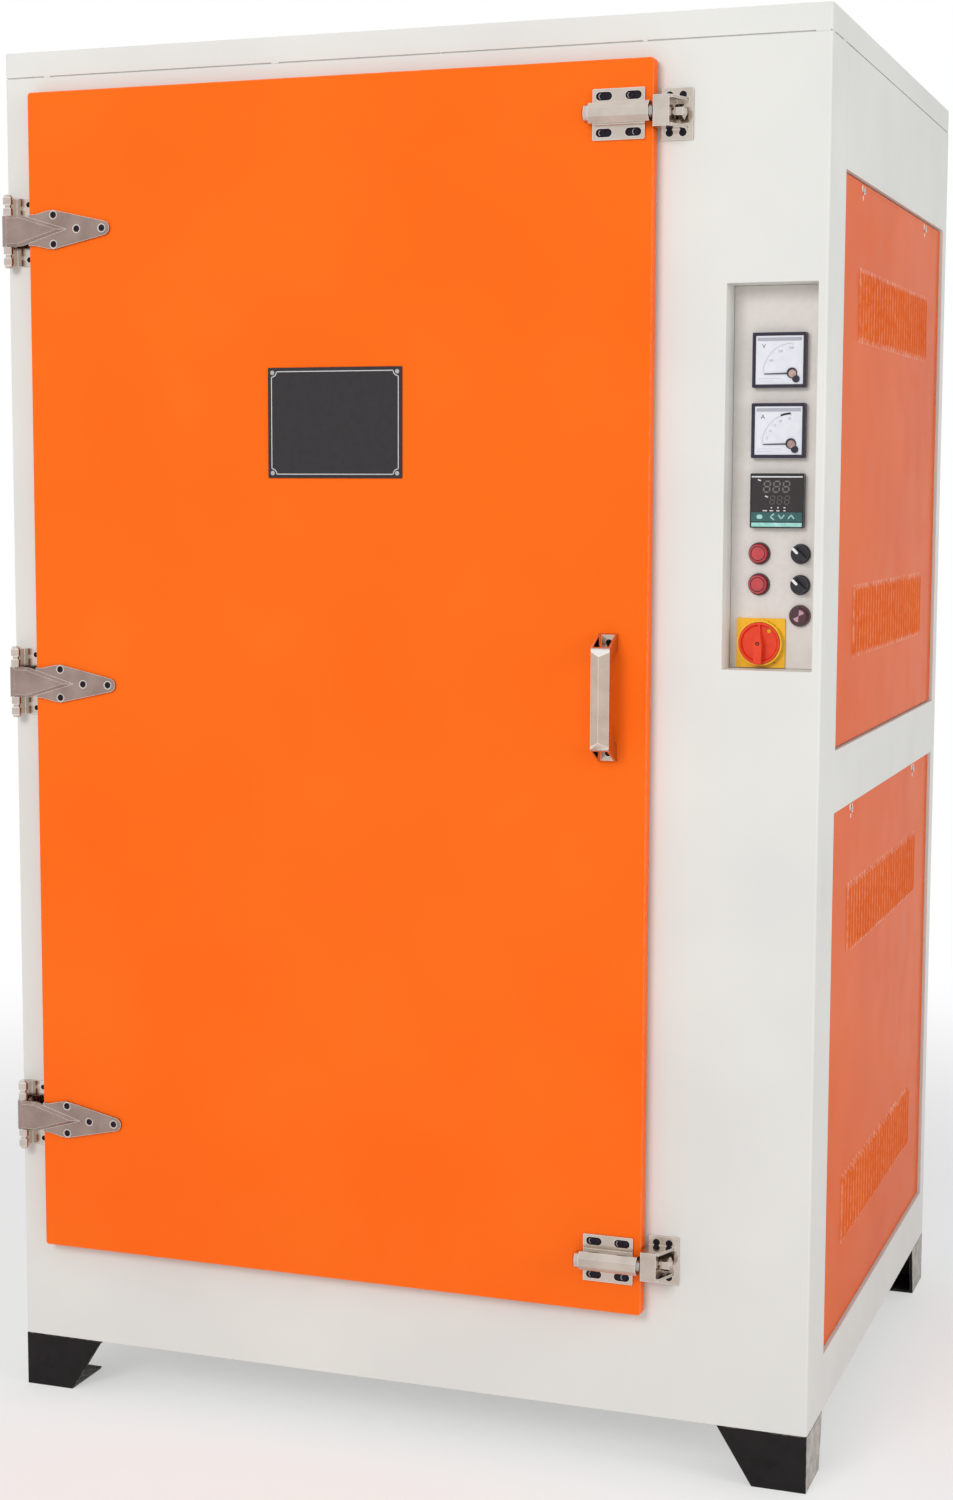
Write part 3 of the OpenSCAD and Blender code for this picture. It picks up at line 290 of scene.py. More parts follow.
def foot_paint():
    """Brushed black enamel on mild steel, rubbed through to grey-brown metal on the outer sides."""
    material, tree, shader = finish("black_enamel_on_steel", "#1E1E1D", 0.5, Specular_IOR_Level=0.2)
    coat = add(tree, "Mix", {0: patches(tree, 25 * MM, 0.0, 1.0), 6: "#131312", 7: "#1E191B"},
               data_type="RGBA")
    facing = add(tree, "SeparateXYZ", {"Vector": add(tree, "NewGeometry").outputs["Normal"]})
    sideways = add(tree, "Math", {0: facing.outputs["X"]}, operation="ABSOLUTE")
    outer = add(tree, "MapRange", {"Value": sideways.outputs[0], "From Min": 0.93, "From Max": 0.99})
    bare = add(tree, "Math", {0: outer.outputs[0], 1: patches(tree, 20 * MM, 0.55, 1.0)},
               operation="MULTIPLY")
    steel = add(tree, "Mix", {0: patches(tree, 6 * MM, 0.0, 1.0), 6: "#D0CAC1", 7: "#B8B1A8"},
                data_type="RGBA")
    rubbed = add(tree, "Math", {0: outer_edges(tree, 1.5 * MM), 1: patches(tree, 9 * MM, -0.6, 0.7)},
                 operation="MULTIPLY")
    share = add(tree, "Math", {0: bare.outputs[0], 1: rubbed.outputs[0]}, operation="MAXIMUM", use_clamp=True)
    seen = add(tree, "Mix", {0: share.outputs[0], 6: coat.outputs[2], 7: steel.outputs[2]}, data_type="RGBA")
    tree.links.new(seen.outputs[2], shader.inputs["Base Color"])
    tree.links.new(patches(tree, 14 * MM, 0.38, 0.62), shader.inputs["Roughness"])
    relief(tree, shader, (patches(tree, 4 * MM, 0.0, 1.0), 0.08 * MM))
    return material


def make_finishes():
    """Every finish on the oven, by the name of what it covers."""
    return {
        # The three coats hardly mirror the white room, which would wash out the sides seen at a slant
        # The pale colour in each coat below is its edge colour: partly rubbed wear, partly a painted edge
        # highlight
        "cabinet": powder_coat("off_white_powder_coat", "#E6E6E1", "#DFDFDB", 0.38, 0.4 * MM, 0.01 * MM,
                               "#F2F1EE", 0.9 * MM, Specular_IOR_Level=0.03),
        "door": powder_coat("satin_orange_powder_coat", "#FF6F15", "#FF6910", 0.5, 0.2 * MM, 0.012 * MM,
                            "#FFB38A", 0.9 * MM, Specular_IOR_Level=0.15),
        "panel": powder_coat("gloss_orange_powder_coat", "#EA661A", "#E25C12", 0.17, 0.5 * MM, 0.004 * MM,
                             "#FFD2BC", 0.9 * MM, Specular_IOR_Level=0.008),
        "lining": galvanised_steel(),
        # The last colour of each plated finish is a painted highlight along its edges
        "hinge": plated_zinc("chrome_plated_zinc", "#A8948B", "#96827A", 0.26, (0.2, 1, 4), "#F6F0EB"),
        "latch": plated_zinc("polished_chrome", "#D2C7BD", "#C2B7AC", 0.16, (0.2, 1, 3), "#FBF9F7"),
        "handle": plated_zinc("chrome_plated_handle", "#CDBBAC", "#C0AD9E", 0.24, (3, 1, 0.2), "#F0EAE4"),
        "bolt": plated_zinc("turned_steel", "#B3B1AE", "#A2A09D", 0.25, (4, 1, 1), "#C8C6C3"),
        "foot": foot_paint(),
        "screw": moulded("blackened_steel", "#1C1422", 0.3, metallic=0.6),
        "bright_screw": moulded("zinc_plated_screw", "#C9C9C7", 0.25, metallic=1.0),
        "primer": moulded("chipped_to_primer", "#E9E1DA", 0.6),
        "seal": moulded("red_silicone_rubber", "#7E2A20", 0.55),
        "nameplate": moulded("black_anodised_plate", "#1B171A", 0.38, "#231E22"),
        "silver_line": moulded("bare_aluminium_line", "#CFCFD0", 0.35),
        "rivet": moulded("aluminium_rivet", "#B9B9BB", 0.3, metallic=1.0),
        "board": moulded("pale_enamelled_board", "#E6E0DB", 0.4, "#E1DAD5"),
        "meter_case": moulded("violet_black_abs", "#231B30", 0.32, "#2B2238"),
        "dial": moulded("printed_dial_card", "#EEF0F6", 0.5, "#E6E9F1"),
        "dial_band": moulded("grey_dial_band", "#B4B5C0", 0.5),
        "dial_ink": moulded("grey_dial_ink", "#8F93A3", 0.5),
        "dark_ink": moulded("black_dial_ink", "#1E1C26", 0.5),
        "pointer": moulded("pointer_enamel", "#4A4C58", 0.4),
        "hub": moulded("brown_hub_cap", "#C4A89F", 0.35, "#9C7F79"),
        "controller": moulded("black_polycarbonate", "#141416", 0.22, "#1C181C"),
        "window": moulded("smoked_window", "#231C1E", 0.12, "#2A2224"),
        "segment": moulded("unlit_segment", "#7A7270", 0.3),
        "dim_segment": moulded("dim_unlit_segment", "#5E5654", 0.3),
        "mark": moulded("white_print", "#E6E4E6", 0.4),
        "key_band": moulded("teal_keypad_film", "#2C5A5A", 0.3, "#3A6463"),
        "key_print": moulded("pale_key_print", "#A9D6D2", 0.4),
        "strip": moulded("light_teal_strip", "#86D2C2", 0.25, "#C4ECEA"),
        "pilot": moulded("red_lamp_lens", "#C93A40", 0.18, "#B83238", Coat_Weight=0.5),
        "pilot_rim": moulded("dark_red_lamp_bezel", "#430D18", 0.3),
        "selector": moulded("black_nylon", "#1A1A1F", 0.3, "#22222A"),
        "pointer_bar": moulded("white_pointer_insert", "#F0F0F2", 0.35),
        "alarm": moulded("maroon_lamp_lens", "#4A1426", 0.2, "#3A0E1C", Coat_Weight=0.5),
        "emblem": moulded("pale_rose_print", "#C79AA6", 0.4),
        "switch_plate": moulded("yellow_nylon", "#FBC62A", 0.35, "#F7BA20"),
        "switch_dial": moulded("signal_red_nylon", "#F0451E", 0.3, "#E63C18"),
        "switch_ink": moulded("dark_switch_print", "#6E5410", 0.5),
    }


# Ways of making a part


def circle(radius, height, steps=36):
    """A ring of points."""
    turns = [2 * math.pi * i / steps for i in range(steps)]
    return [Vector((radius * math.cos(a), radius * math.sin(a), height)) for a in turns]


def hexagon(radius, height, steps=36):
    """A ring of as many points as a circle has, laid on a hexagon."""
    points = []
    for i in range(steps):
        angle = 2 * math.pi * i / steps
        reach = radius * math.cos(math.pi / 6) / math.cos(angle % (math.pi / 3) - math.pi / 6)
        points.append(Vector((reach * math.cos(angle), reach * math.sin(angle), height)))
    return points


def arc(radius, start, end, steps=16, middle=(0, 0)):
    """Points along an arc from one angle to another, in degrees."""
    angles = [math.radians(start + (end - start) * i / steps) for i in range(steps + 1)]
    return [(middle[0] + radius * math.cos(a), middle[1] + radius * math.sin(a)) for a in angles]


def rectangle(width, height, corner=0.0, middle=(0, 0)):
    """The outline of a rectangle, with round corners where a radius is given."""
    x, y = width / 2, height / 2
    if not corner:
        points = [(-x, -y), (x, -y), (x, y), (-x, y)]
    else:
        points = []
        for sx, sy, start in ((1, -1, -90), (1, 1, 0), (-1, 1, 90), (-1, -1, 180)):
            points += arc(corner, start, start + 90, 5, (sx * (x - corner), sy * (y - corner)))
    return [(px + middle[0], py + middle[1]) for px, py in points]


def stroke(start, end, width):
    """The outline of a straight line of the given width."""
    start, end = Vector(start), Vector(end)
    side = (end - start).orthogonal().normalized() * width / 2
    return [tuple(p) for p in (start - side, end - side, end + side, start + side)]


class Piece:
    """A piece under way, built up from parts that each have their own finish."""

    def __init__(self, name, frame_of):
        self.name = name
        self.frame_of = frame_of
        self.work = bmesh.new()
        self.finishes = []

    def put(self, part, coat, at=(0, 0, 0), turn=None):
        """Adds a finished part at a place, turned first where a turn is given."""
        if coat not in self.finishes:
            self.finishes.append(coat)
        for face in part.faces:
            face.material_index = self.finishes.index(coat)
            face.smooth = True
        part.transform(self.frame_of @ Matrix.Translation(at) @ (turn or Matrix.Identity(4)))
        mesh = bpy.data.meshes.new("part")
        part.to_mesh(mesh)
        part.free()
        self.work.from_mesh(mesh)
        bpy.data.meshes.remove(mesh)

    def loft(self, rings, coat, at=(0, 0, 0), turn=None, hollow=False):
        """Joins rings of points into a closed skin. A hollow one is a washer, whose last ring joins the
        first."""
        part = bmesh.new()
        loops = [[part.verts.new(p) for p in ring] for ring in rings]
        if hollow:
            loops.append(loops[0])
        for low, high in zip(loops, loops[1:]):
            for i, corner in enumerate(low):
                after = (i + 1) % len(low)
                part.faces.new((corner, low[after], high[after], high[i]))
        if not hollow:
            part.faces.new(reversed(loops[0]))
            part.faces.new(loops[-1])
        bmesh.ops.recalc_face_normals(part, faces=part.faces)
        self.put(part, coat, at, turn)

    def slab(self, outline, thickness, coat, at=(0, 0, 0), turn=None, edge=0.0):
        """Raises a flat outline to a plate, with its front edge rounded where a width is given."""
        part = bmesh.new()
        low = [part.verts.new((x, y, 0)) for x, y in outline]
        high = [part.verts.new((x, y, thickness)) for x, y in outline]
        part.faces.new(reversed(low))
        top = part.faces.new(high)
        for i, corner in enumerate(low):
            after = (i + 1) % len(low)
            part.faces.new((corner, low[after], high[after], high[i]))
        if edge:
            bmesh.ops.bevel(part, geom=list(top.edges), offset=edge, segments=2, profile=0.5, affect="EDGES")
        bmesh.ops.recalc_face_normals(part, faces=part.faces)
        self.put(part, coat, at, turn)

    def lettering(self, text, height, coat, at=(0, 0, 0), turn=None):
        """Plain figures or a unit letter, printed a tenth of a millimetre thick."""
        curve = bpy.data.curves.new("print", "FONT")
        curve.body = text
        curve.size = height * 1.35
        curve.extrude = 0.05 * MM
        curve.align_x = "CENTER"
        curve.align_y = "CENTER"
        written = bpy.data.objects.new("print", curve)
        mesh = bpy.data.meshes.new_from_object(written)
        part = bmesh.new()
        part.from_mesh(mesh)
        bpy.data.objects.remove(written)
        bpy.data.curves.remove(curve)
        bpy.data.meshes.remove(mesh)
        self.put(part, coat, at, turn)

    def done(self, body):
        """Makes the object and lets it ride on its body."""
        mesh = bpy.data.meshes.new(self.name)
        self.work.to_mesh(mesh)
        self.work.free()
        mesh.set_sharp_from_angle(angle=math.radians(32))
        for coat in self.finishes:
            mesh.materials.append(FINISHES[coat])
        piece = bpy.data.objects.new(self.name, mesh)
        bpy.context.scene.collection.objects.link(piece)
        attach(piece, body)
        return piece


def middle_of(node):
    """The middle of a CAD piece's box."""
    low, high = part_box(node)
    return (low + high) / 2


def front_of(node, depth=0.0):
    """The frame of a CAD piece's front face, from its middle, a depth behind its foremost point."""
    low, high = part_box(node)
    middle = (low + high) / 2
    return Matrix.Translation((middle.x, low.y + depth, middle.z)) @ ON_FRONT


def body_of(node):
    """The body that a CAD piece rides on."""
    return frame["nodes"][node]["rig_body"]


def coat_piece(node, coat):
    """Gives a CAD piece its finish."""
    for place in frame["nodes"][node].material_slots:
        place.material = FINISHES[coat]


# How deep behind a piece's foremost point its front edges are looked for
FRONT_DEPTH = 7 * MM


def round_edges(node, coat, width, steps=2, front_width=None):
    """A copy of a CAD piece with its sharp edges rounded, which stands for it. Long edges right at its
    front may have a width of their own."""
    work = bmesh.new()
    work.from_mesh(frame["nodes"][node].data)
    bmesh.ops.remove_doubles(work, verts=work.verts, dist=0.01 * MM)
    bmesh.ops.dissolve_limit(work, angle_limit=math.radians(0.5), verts=work.verts, edges=work.edges)
    if front_width:
        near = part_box(node)[0].y + FRONT_DEPTH
        front = [e for e in work.edges if e.calc_length() > 30 * MM and max(v.co.y for v in e.verts) < near]
        bmesh.ops.bevel(work, geom=front, offset=front_width, segments=4, profile=0.5, affect="EDGES",
                        clamp_overlap=True)
    sharp = [e for e in work.edges if len(e.link_faces) == 2 and e.calc_face_angle() > math.radians(28)]
    bmesh.ops.bevel(work, geom=sharp, offset=width, segments=steps, profile=0.5, affect="EDGES",
                    clamp_overlap=True)
    for face in work.faces:
        face.smooth = True
        face.material_index = 0
    mesh = bpy.data.meshes.new(node + "_finished")
    work.to_mesh(mesh)
    work.free()
    mesh.set_sharp_from_angle(angle=math.radians(50))
    mesh.materials.append(FINISHES[coat])
    piece = bpy.data.objects.new(node + "_finished", mesh)
    bpy.context.scene.collection.objects.link(piece)
    # The large flat faces keep their own direction, and only the rounded edges are shaded softly
    flat = piece.modifiers.new("flat_faces", "WEIGHTED_NORMAL")
    flat.keep_sharp = True
    flat.weight = 100
    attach(piece, body_of(node))
    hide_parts(node)
    return piece


def socket_screw(piece, x, y, z, radius, head=2.0 * MM, coat="screw"):
    """A screw head with a hexagon socket, its underside at height z."""
    socket = radius * 0.5
    piece.loft([circle(radius, 0), circle(radius, head * 0.7), circle(radius * 0.9, head),
                hexagon(socket, head), hexagon(socket * 0.96, head * 0.35)], coat, (x, y, z))


def rim_screw(piece, x, y, z):
    """A dark socket screw sunk in a bright countersink, whose rim lies at height z."""
    head_r = 5.0 * MM
    rim_r = 6.1 * MM
    rings = [circle(head_r, z - 0.6 * MM), circle(rim_r, z - 0.6 * MM), circle(rim_r, z + 0.2 * MM),
             circle(5.8 * MM, z + 0.3 * MM), circle(head_r, z - 0.1 * MM)]
    piece.loft(rings, "latch", (x, y, 0), hollow=True)
    socket_screw(piece, x, y, z - 0.9 * MM, head_r, 0.9 * MM)


# The cabinet

# Height of the seam under the lid
SEAM_H = 1.5 * MM
# Start and end of each weld run in millimetres, from the lid's left end along the front and from its
# front end along the side
FRONT_WELDS = ((62.6, 72.5), (417.5, 429), (666.4, 668.5), (948.8, 955.5), (1177.6, 1196.8))
SIDE_WELDS = ((3.2, 17), (73, 87))
# A side panel's screws, from its middle and below its upper edge
PANEL_SCREW_Y = 262 * MM
PANEL_SCREW_DROP = 11 * MM
# Chips beside a panel screw: distance from the screw, angle and half width
CHIPS = ((9.0 * MM, 2.7, 4.5 * MM), (9.5 * MM, 0.5, 3.0 * MM), (9.0 * MM, 4.4, 3.2 * MM))
CHIP_OUTLINE = ((1.0, 0.1), (0.6, 1.2), (-0.2, 0.75), (-0.9, 1.0), (-1.1, -0.2), (-0.3, -1.4), (0.5, -0.8))


def finish_cabinet():
    """Coats the walls, and rounds the folds of the sheets that show."""
    for node in ("base", "left_wall", "partition_wall", "back_wall", "ceiling", "control_tray"):
        coat_piece(node, "cabinet")
    for node in ("front_panel", "side_frame", "lid"):
        round_edges(node, "cabinet", 1.2 * MM)
    for node in ("upper_side_panel", "lower_side_panel"):
        round_edges(node, "panel", 0.5 * MM, steps=1)
    for side in ("front_left", "front_right", "rear_left", "rear_right"):
        round_edges("foot_" + side, "foot", 1.0 * MM)
    coat_piece("oven_lining", "lining")
    coat_piece("control_board", "board")


def weld_lid():
    """Short runs where the weld under the lid closes the dark seam along the front and right side."""
    low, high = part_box("lid")
    bead_h = SEAM_H + 0.2 * MM
    deep = 2.8 * MM
    inset = deep + 0.1 * MM
    front = Matrix.Translation((low.x, low.y + inset, low.z + SEAM_H / 2)) @ ON_FRONT
    side = Matrix.Translation((high.x - inset, low.y, low.z + SEAM_H / 2)) @ ON_SIDE
    for name, at, runs in (("front_lid_welds", front, FRONT_WELDS), ("side_lid_welds", side, SIDE_WELDS)):
        piece = Piece(name, at)
        for start, end in runs:
            bead = rectangle((end - start) * MM, bead_h, 0.7 * MM, ((start + end) / 2 * MM, 0))
            piece.slab(bead, deep, "cabinet", edge=0.4 * MM)
        piece.done("cabinet")


def screw_side_panels():
    """Two bright screws along each side panel's upper edge, with paint chipped off beside them."""
    for node in ("upper_side_panel", "lower_side_panel"):
        low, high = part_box(node)
        face_x = high.x - 3.5 * MM
        at = Matrix.Translation((face_x, (low.y + high.y) / 2, high.z)) @ ON_SIDE
        piece = Piece(node + "_screws", at)
        for side in (-1, 1):
            screw = Vector((side * PANEL_SCREW_Y, -PANEL_SCREW_DROP))
            socket_screw(piece, screw.x, screw.y, 0, 4.5 * MM, coat="bright_screw")
            for reach, angle, size in CHIPS:
                middle = screw + Vector((reach * math.cos(angle), reach * math.sin(angle)))
                chip = [middle + size * Vector(corner) for corner in CHIP_OUTLINE]
                piece.slab([tuple(corner) for corner in chip], 0.05 * MM, "primer")
        piece.done("cabinet")


# The door


def finish_door():
    """Coats the door's pan, plug and seal."""
    round_edges("door_pan", "door", 1.5 * MM)
    coat_piece("door_plug", "lining")
    coat_piece("door_seal", "seal")


def line_nameplate():
    """A silver line round the bare plate, with a quarter circle taken out at each riveted corner."""
    round_edges("door_nameplate", "nameplate", 0.3 * MM, steps=1)
    low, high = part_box("door_nameplate")
    width, height = high.x - low.x, high.z - low.z
    rivet_in = 7 * MM
    rivet_h = 1.0 * MM
    piece = Piece("nameplate_line", front_of("door_nameplate", rivet_h))
    margin = 5.5 * MM
    thick = 1.2 * MM
    bite = 8 * MM
    x, y = width / 2 - margin, height / 2 - margin
    for side in (-1, 1):
        piece.slab(rectangle(2 * (x - bite), thick, middle=(0, side * y)), 0.1 * MM, "silver_line")
        piece.slab(rectangle(thick, 2 * (y - bite), middle=(side * x, 0)), 0.1 * MM, "silver_line")
    for sx, sy, start in ((1, 1, 180), (-1, 1, 270), (-1, -1, 0), (1, -1, 90)):
        centre = (sx * x, sy * y)
        outline = arc(bite, start, start + 90, 12, centre)
        outline += arc(bite - thick, start + 90, start, 12, centre)
        piece.slab(outline, 0.1 * MM, "silver_line")
        rivet = (sx * (width / 2 - rivet_in), sy * (height / 2 - rivet_in), 0)
        piece.loft([circle(3.2 * MM, 0, 24), circle(3.1 * MM, 0.6 * MM, 24), circle(2.2 * MM, 1.05 * MM, 24),
                    circle(0.8 * MM, 1.2 * MM, 24)], "rivet", rivet)
    piece.done("door")


# Half the distance between the outer edges of the handle's ledges, and how far they slope to the front
LEDGE_Z = 68 * MM
LEDGE_SLOPE = 6 * MM
# The screw in a foot of the handle, from the handle's middle
HANDLE_SCREW = (3 * MM, 74 * MM)


def finish_handle():
    """The plated pull handle, its ledges sloped to the front, with a screw deep in each foot."""
    grip = round_edges("door_handle", "handle", 1.1 * MM)
    low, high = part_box("door_handle")
    middle = (low + high) / 2
    for point in grip.data.vertices:
        beyond = abs(point.co.z - middle.z) - LEDGE_Z
        if abs(beyond) < 2.5 * MM and low.y + 10 * MM < point.co.y < low.y + 18 * MM:
            point.co.y -= LEDGE_SLOPE
    piece = Piece("handle_screws", Matrix.Translation((middle.x, high.y, middle.z)) @ ON_FRONT)
    for side in (-1, 1):
        socket_screw(piece, HANDLE_SCREW[0], side * HANDLE_SCREW[1], 1 * MM, 4 * MM, 5 * MM)
    piece.done("door")


# The hinges and latches

STRAP_T = 4 * MM
# Half height of the strap's flare, and where on the way up the shape begins to differ from the solid
FLARE_HALF = 27.5 * MM
FLARE_FROM = 22 * MM
# Screws in a hinge's strap, from its tip and its middle height
STRAP_SCREWS = ((-89 * MM, 20.5 * MM), (-89 * MM, -20.5 * MM), (-52 * MM, 0), (-12 * MM, 0))
# A leaf's screws, from its outer edge and its middle height
LEAF_SCREW = (-9 * MM, 39 * MM)
# A latch's slots, from the middle between them, and how far in from the latch's right end that middle is
LATCH_SLOT = (20 * MM, 23.5 * MM)
SLOTS_FROM_END = 46.5 * MM
# A keeper's bolts, from the frame's origin at its left end and from its middle height
KEEPER_BOLTS_X = (11 * MM, 29 * MM)
KEEPER_BOLT_Z = 24 * MM


def finish_hinge(name):
    """A plated strap and leaf with their socket screws."""
    strap, leaf = name + "_hinge_strap", name + "_hinge_leaf"
    plate = round_edges(strap, "hinge", 0.7 * MM)
    round_edges(leaf, "latch", 0.7 * MM)
    low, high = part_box(strap)
    middle = (low.z + high.z) / 2
    # The real flare is slimmer than the solid's
    slim = (FLARE_HALF - FLARE_FROM) / ((high.z - low.z) / 2 - FLARE_FROM)
    for point in plate.data.vertices:
        rise = point.co.z - middle
        if abs(rise) > FLARE_FROM:
            point.co.z = middle + math.copysign(FLARE_FROM + (abs(rise) - FLARE_FROM) * slim, rise)
    door_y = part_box("door_pan")[0].y
    piece = Piece(name + "_strap_screws", Matrix.Translation((high.x, door_y, middle)) @ ON_FRONT)
    for x, y in STRAP_SCREWS:
        rim_screw(piece, x, y, STRAP_T)
    piece.done("door")
    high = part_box(leaf)[1]
    piece = Piece(name + "_leaf_screws", Matrix.Translation((high.x, high.y, middle_of(leaf).z)) @ ON_FRONT)
    for side in (-1, 1):
        socket_screw(piece, LEAF_SCREW[0], side * LEAF_SCREW[1], 0.3 * MM, 3.7 * MM, 2.2 * MM)
    piece.done("cabinet")


def finish_latch(name):
    """A polished latch with bolts in its slots, its plunger and its keeper."""
    round_edges(name + "_latch", "latch", 0.8 * MM, front_width=3 * MM)
    round_edges(name + "_plunger", "bolt", 0.5 * MM)
    round_edges(name + "_keeper", "latch", 0.7 * MM)
    low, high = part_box(name + "_latch")
    at = (high.x - SLOTS_FROM_END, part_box("door_pan")[0].y, (low.z + high.z) / 2)
    piece = Piece(name + "_latch_bolts", Matrix.Translation(at) @ ON_FRONT)
    # A dark plate, a painted shade for the inside of each slot, nearly fills it, and a bolt with a dark head
    # sits on it
    for side, rise, offset in ((-1, 1, -3), (1, 1, -4), (-1, -1, -3), (1, -1, 3)):
        slot = (side * LATCH_SLOT[0], rise * LATCH_SLOT[1])
        piece.slab(rectangle(21.4 * MM, 10.4 * MM, 5.1 * MM, slot), 0.9 * MM, "screw", edge=0.2 * MM)
        bolt = (slot[0] + offset * MM, slot[1])
        socket_screw(piece, bolt[0], bolt[1], 0.9 * MM, 4.9 * MM, 1.6 * MM)
        # A thin crescent of turned steel at the left of each bolt head is a painted highlight
        painted_highlight_arc = arc(4.3 * MM, 115, 245, 14, bolt) + arc(3.5 * MM, 235, 125, 14, bolt)
        piece.slab(painted_highlight_arc, 0.12 * MM, "bolt", (0, 0, 2.5 * MM))
    piece.done("door")
    low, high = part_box(name + "_keeper")
    at = (low.x + 1 * MM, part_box("front_panel")[0].y, (low.z + high.z) / 2)
    piece = Piece(name + "_keeper_bolts", Matrix.Translation(at) @ ON_FRONT)
    for x in KEEPER_BOLTS_X:
        for side in (-1, 1):
            socket_screw(piece, x, side * KEEPER_BOLT_Z, 0.3 * MM, 4.8 * MM, 2.4 * MM)
    piece.done("cabinet")


# The control panel

# A meter's side, the width of its rim, and its hub's place from its middle
METER = 72 * MM
BEZEL = 4.3 * MM
HUB = (17 * MM, -17 * MM)


def finish_meter(node, unit, figures, thick_zone):
    """A square moving-coil meter: its dial, scale, unit letter, pointer and hub. A thick zone is a part of
    the scale drawn wider, between two angles."""
    round_edges(node, "meter_case", 0.5 * MM)
    sunk = 2.5 * MM
    card = 0.3 * MM
    ink = 0.1 * MM
    piece = Piece(node + "_dial", front_of(node, sunk))
    face = METER - 2 * BEZEL - 0.2 * MM
    piece.slab(rectangle(face, face), card, "dial")
    # A grey band near the top of the dial is a painted shadow of the bezel
    bezel_shadow_band = rectangle(face - 4 * MM, 4.5 * MM, middle=(0, face / 2 - 4.5 * MM))
    piece.slab(bezel_shadow_band, ink, "dial_band", (0, 0, card))
    scale_r = 39 * MM
    figures_r = 32.5 * MM
    piece.slab(arc(scale_r, 90, 178, 40, HUB) + arc(scale_r - 0.5 * MM, 178, 90, 40, HUB), ink, "dial_band",
               (0, 0, card))
    for i in range(21):
        angle = math.radians(90 + 88 * i / 20)
        away = Vector((math.cos(angle), math.sin(angle)))
        length = 3.2 * MM if i % 5 == 0 else 1.6 * MM
        start = Vector(HUB) + away * scale_r
        piece.slab(stroke(start, start - away * length, 0.4 * MM), ink, "dial_band", (0, 0, card))
    for angle, figure in figures:
        turn = math.radians(angle)
        x = HUB[0] + figures_r * math.cos(turn)
        y = HUB[1] + figures_r * math.sin(turn)
        piece.lettering(figure, 3.2 * MM, "dial_ink", (x, y, card))
    if thick_zone:
        start, end = thick_zone
        band = arc(40.6 * MM, start, end, 12, HUB) + arc(38 * MM, end, start, 12, HUB)
        piece.slab(band, ink, "dark_ink", (0, 0, 1.5 * card))
    piece.lettering(unit, 6 * MM, "dark_ink", (-21 * MM, 18 * MM, card))
    for row in (0, 1):
        middle = ((-12 - 6 * row) * MM, (-24 - 3.2 * row) * MM)
        rule = rectangle((32 - 12 * row) * MM, 0.35 * MM, middle=middle)
        piece.slab(rule, ink, "dial_band", (0, 0, card))
    needle = [(HUB[0], HUB[1] - 1.6 * MM), (HUB[0], HUB[1] + 0.6 * MM), (-19 * MM, HUB[1] - 0.4 * MM),
              (-21 * MM, HUB[1] - 1.1 * MM), (-19 * MM, HUB[1] - 1.8 * MM)]
    piece.slab(needle, 0.3 * MM, "pointer", (0, 0, 1.2 * MM))
    # The hub is a brown cap in a dark ring, with the dark zero screw below it
    top = sunk - 0.7 * MM
    piece.loft([circle(6.6 * MM, 0), circle(6.6 * MM, 0.3 * MM), circle(6.2 * MM, 0.4 * MM)], "meter_case",
               (HUB[0], HUB[1], top))
    piece.loft([circle(5.2 * MM, 0), circle(5.2 * MM, 0.25 * MM), circle(4.0 * MM, 0.35 * MM)], "hub",
               (HUB[0] + 0.9 * MM, HUB[1] - 0.9 * MM, top + 0.35 * MM))
    piece.loft([circle(4.8 * MM, 0), circle(4.8 * MM, 2.3 * MM), circle(3.8 * MM, 2.5 * MM)], "meter_case",
               (HUB[0] + 5.4 * MM, HUB[1] - 7.6 * MM, 0))
    piece.done("cabinet")


# The seven strokes of a figure, on a grid one wide and two high
SEGMENTS = (((0, 0), (1, 0)), ((0, 1), (1, 1)), ((0, 2), (1, 2)), ((0, 0), (0, 1)), ((0, 1), (0, 2)),
            ((1, 0), (1, 1)), ((1, 1), (1, 2)))


def unlit_figure(piece, x, y, width, height, line, coat):
    """A seven-segment figure that isn't lit, leaning a little to the right."""
    lean = 0.12
    for (ax, ay), (bx, by) in SEGMENTS:
        start = Vector((ax * width, ay * height / 2))
        end = Vector((bx * width, by * height / 2))
        step = (end - start).normalized() * line * 0.6
        bar = stroke(start + step, end - step, line)
        piece.slab([(px + lean * py + x, py + y) for px, py in bar], 0.1 * MM, coat)


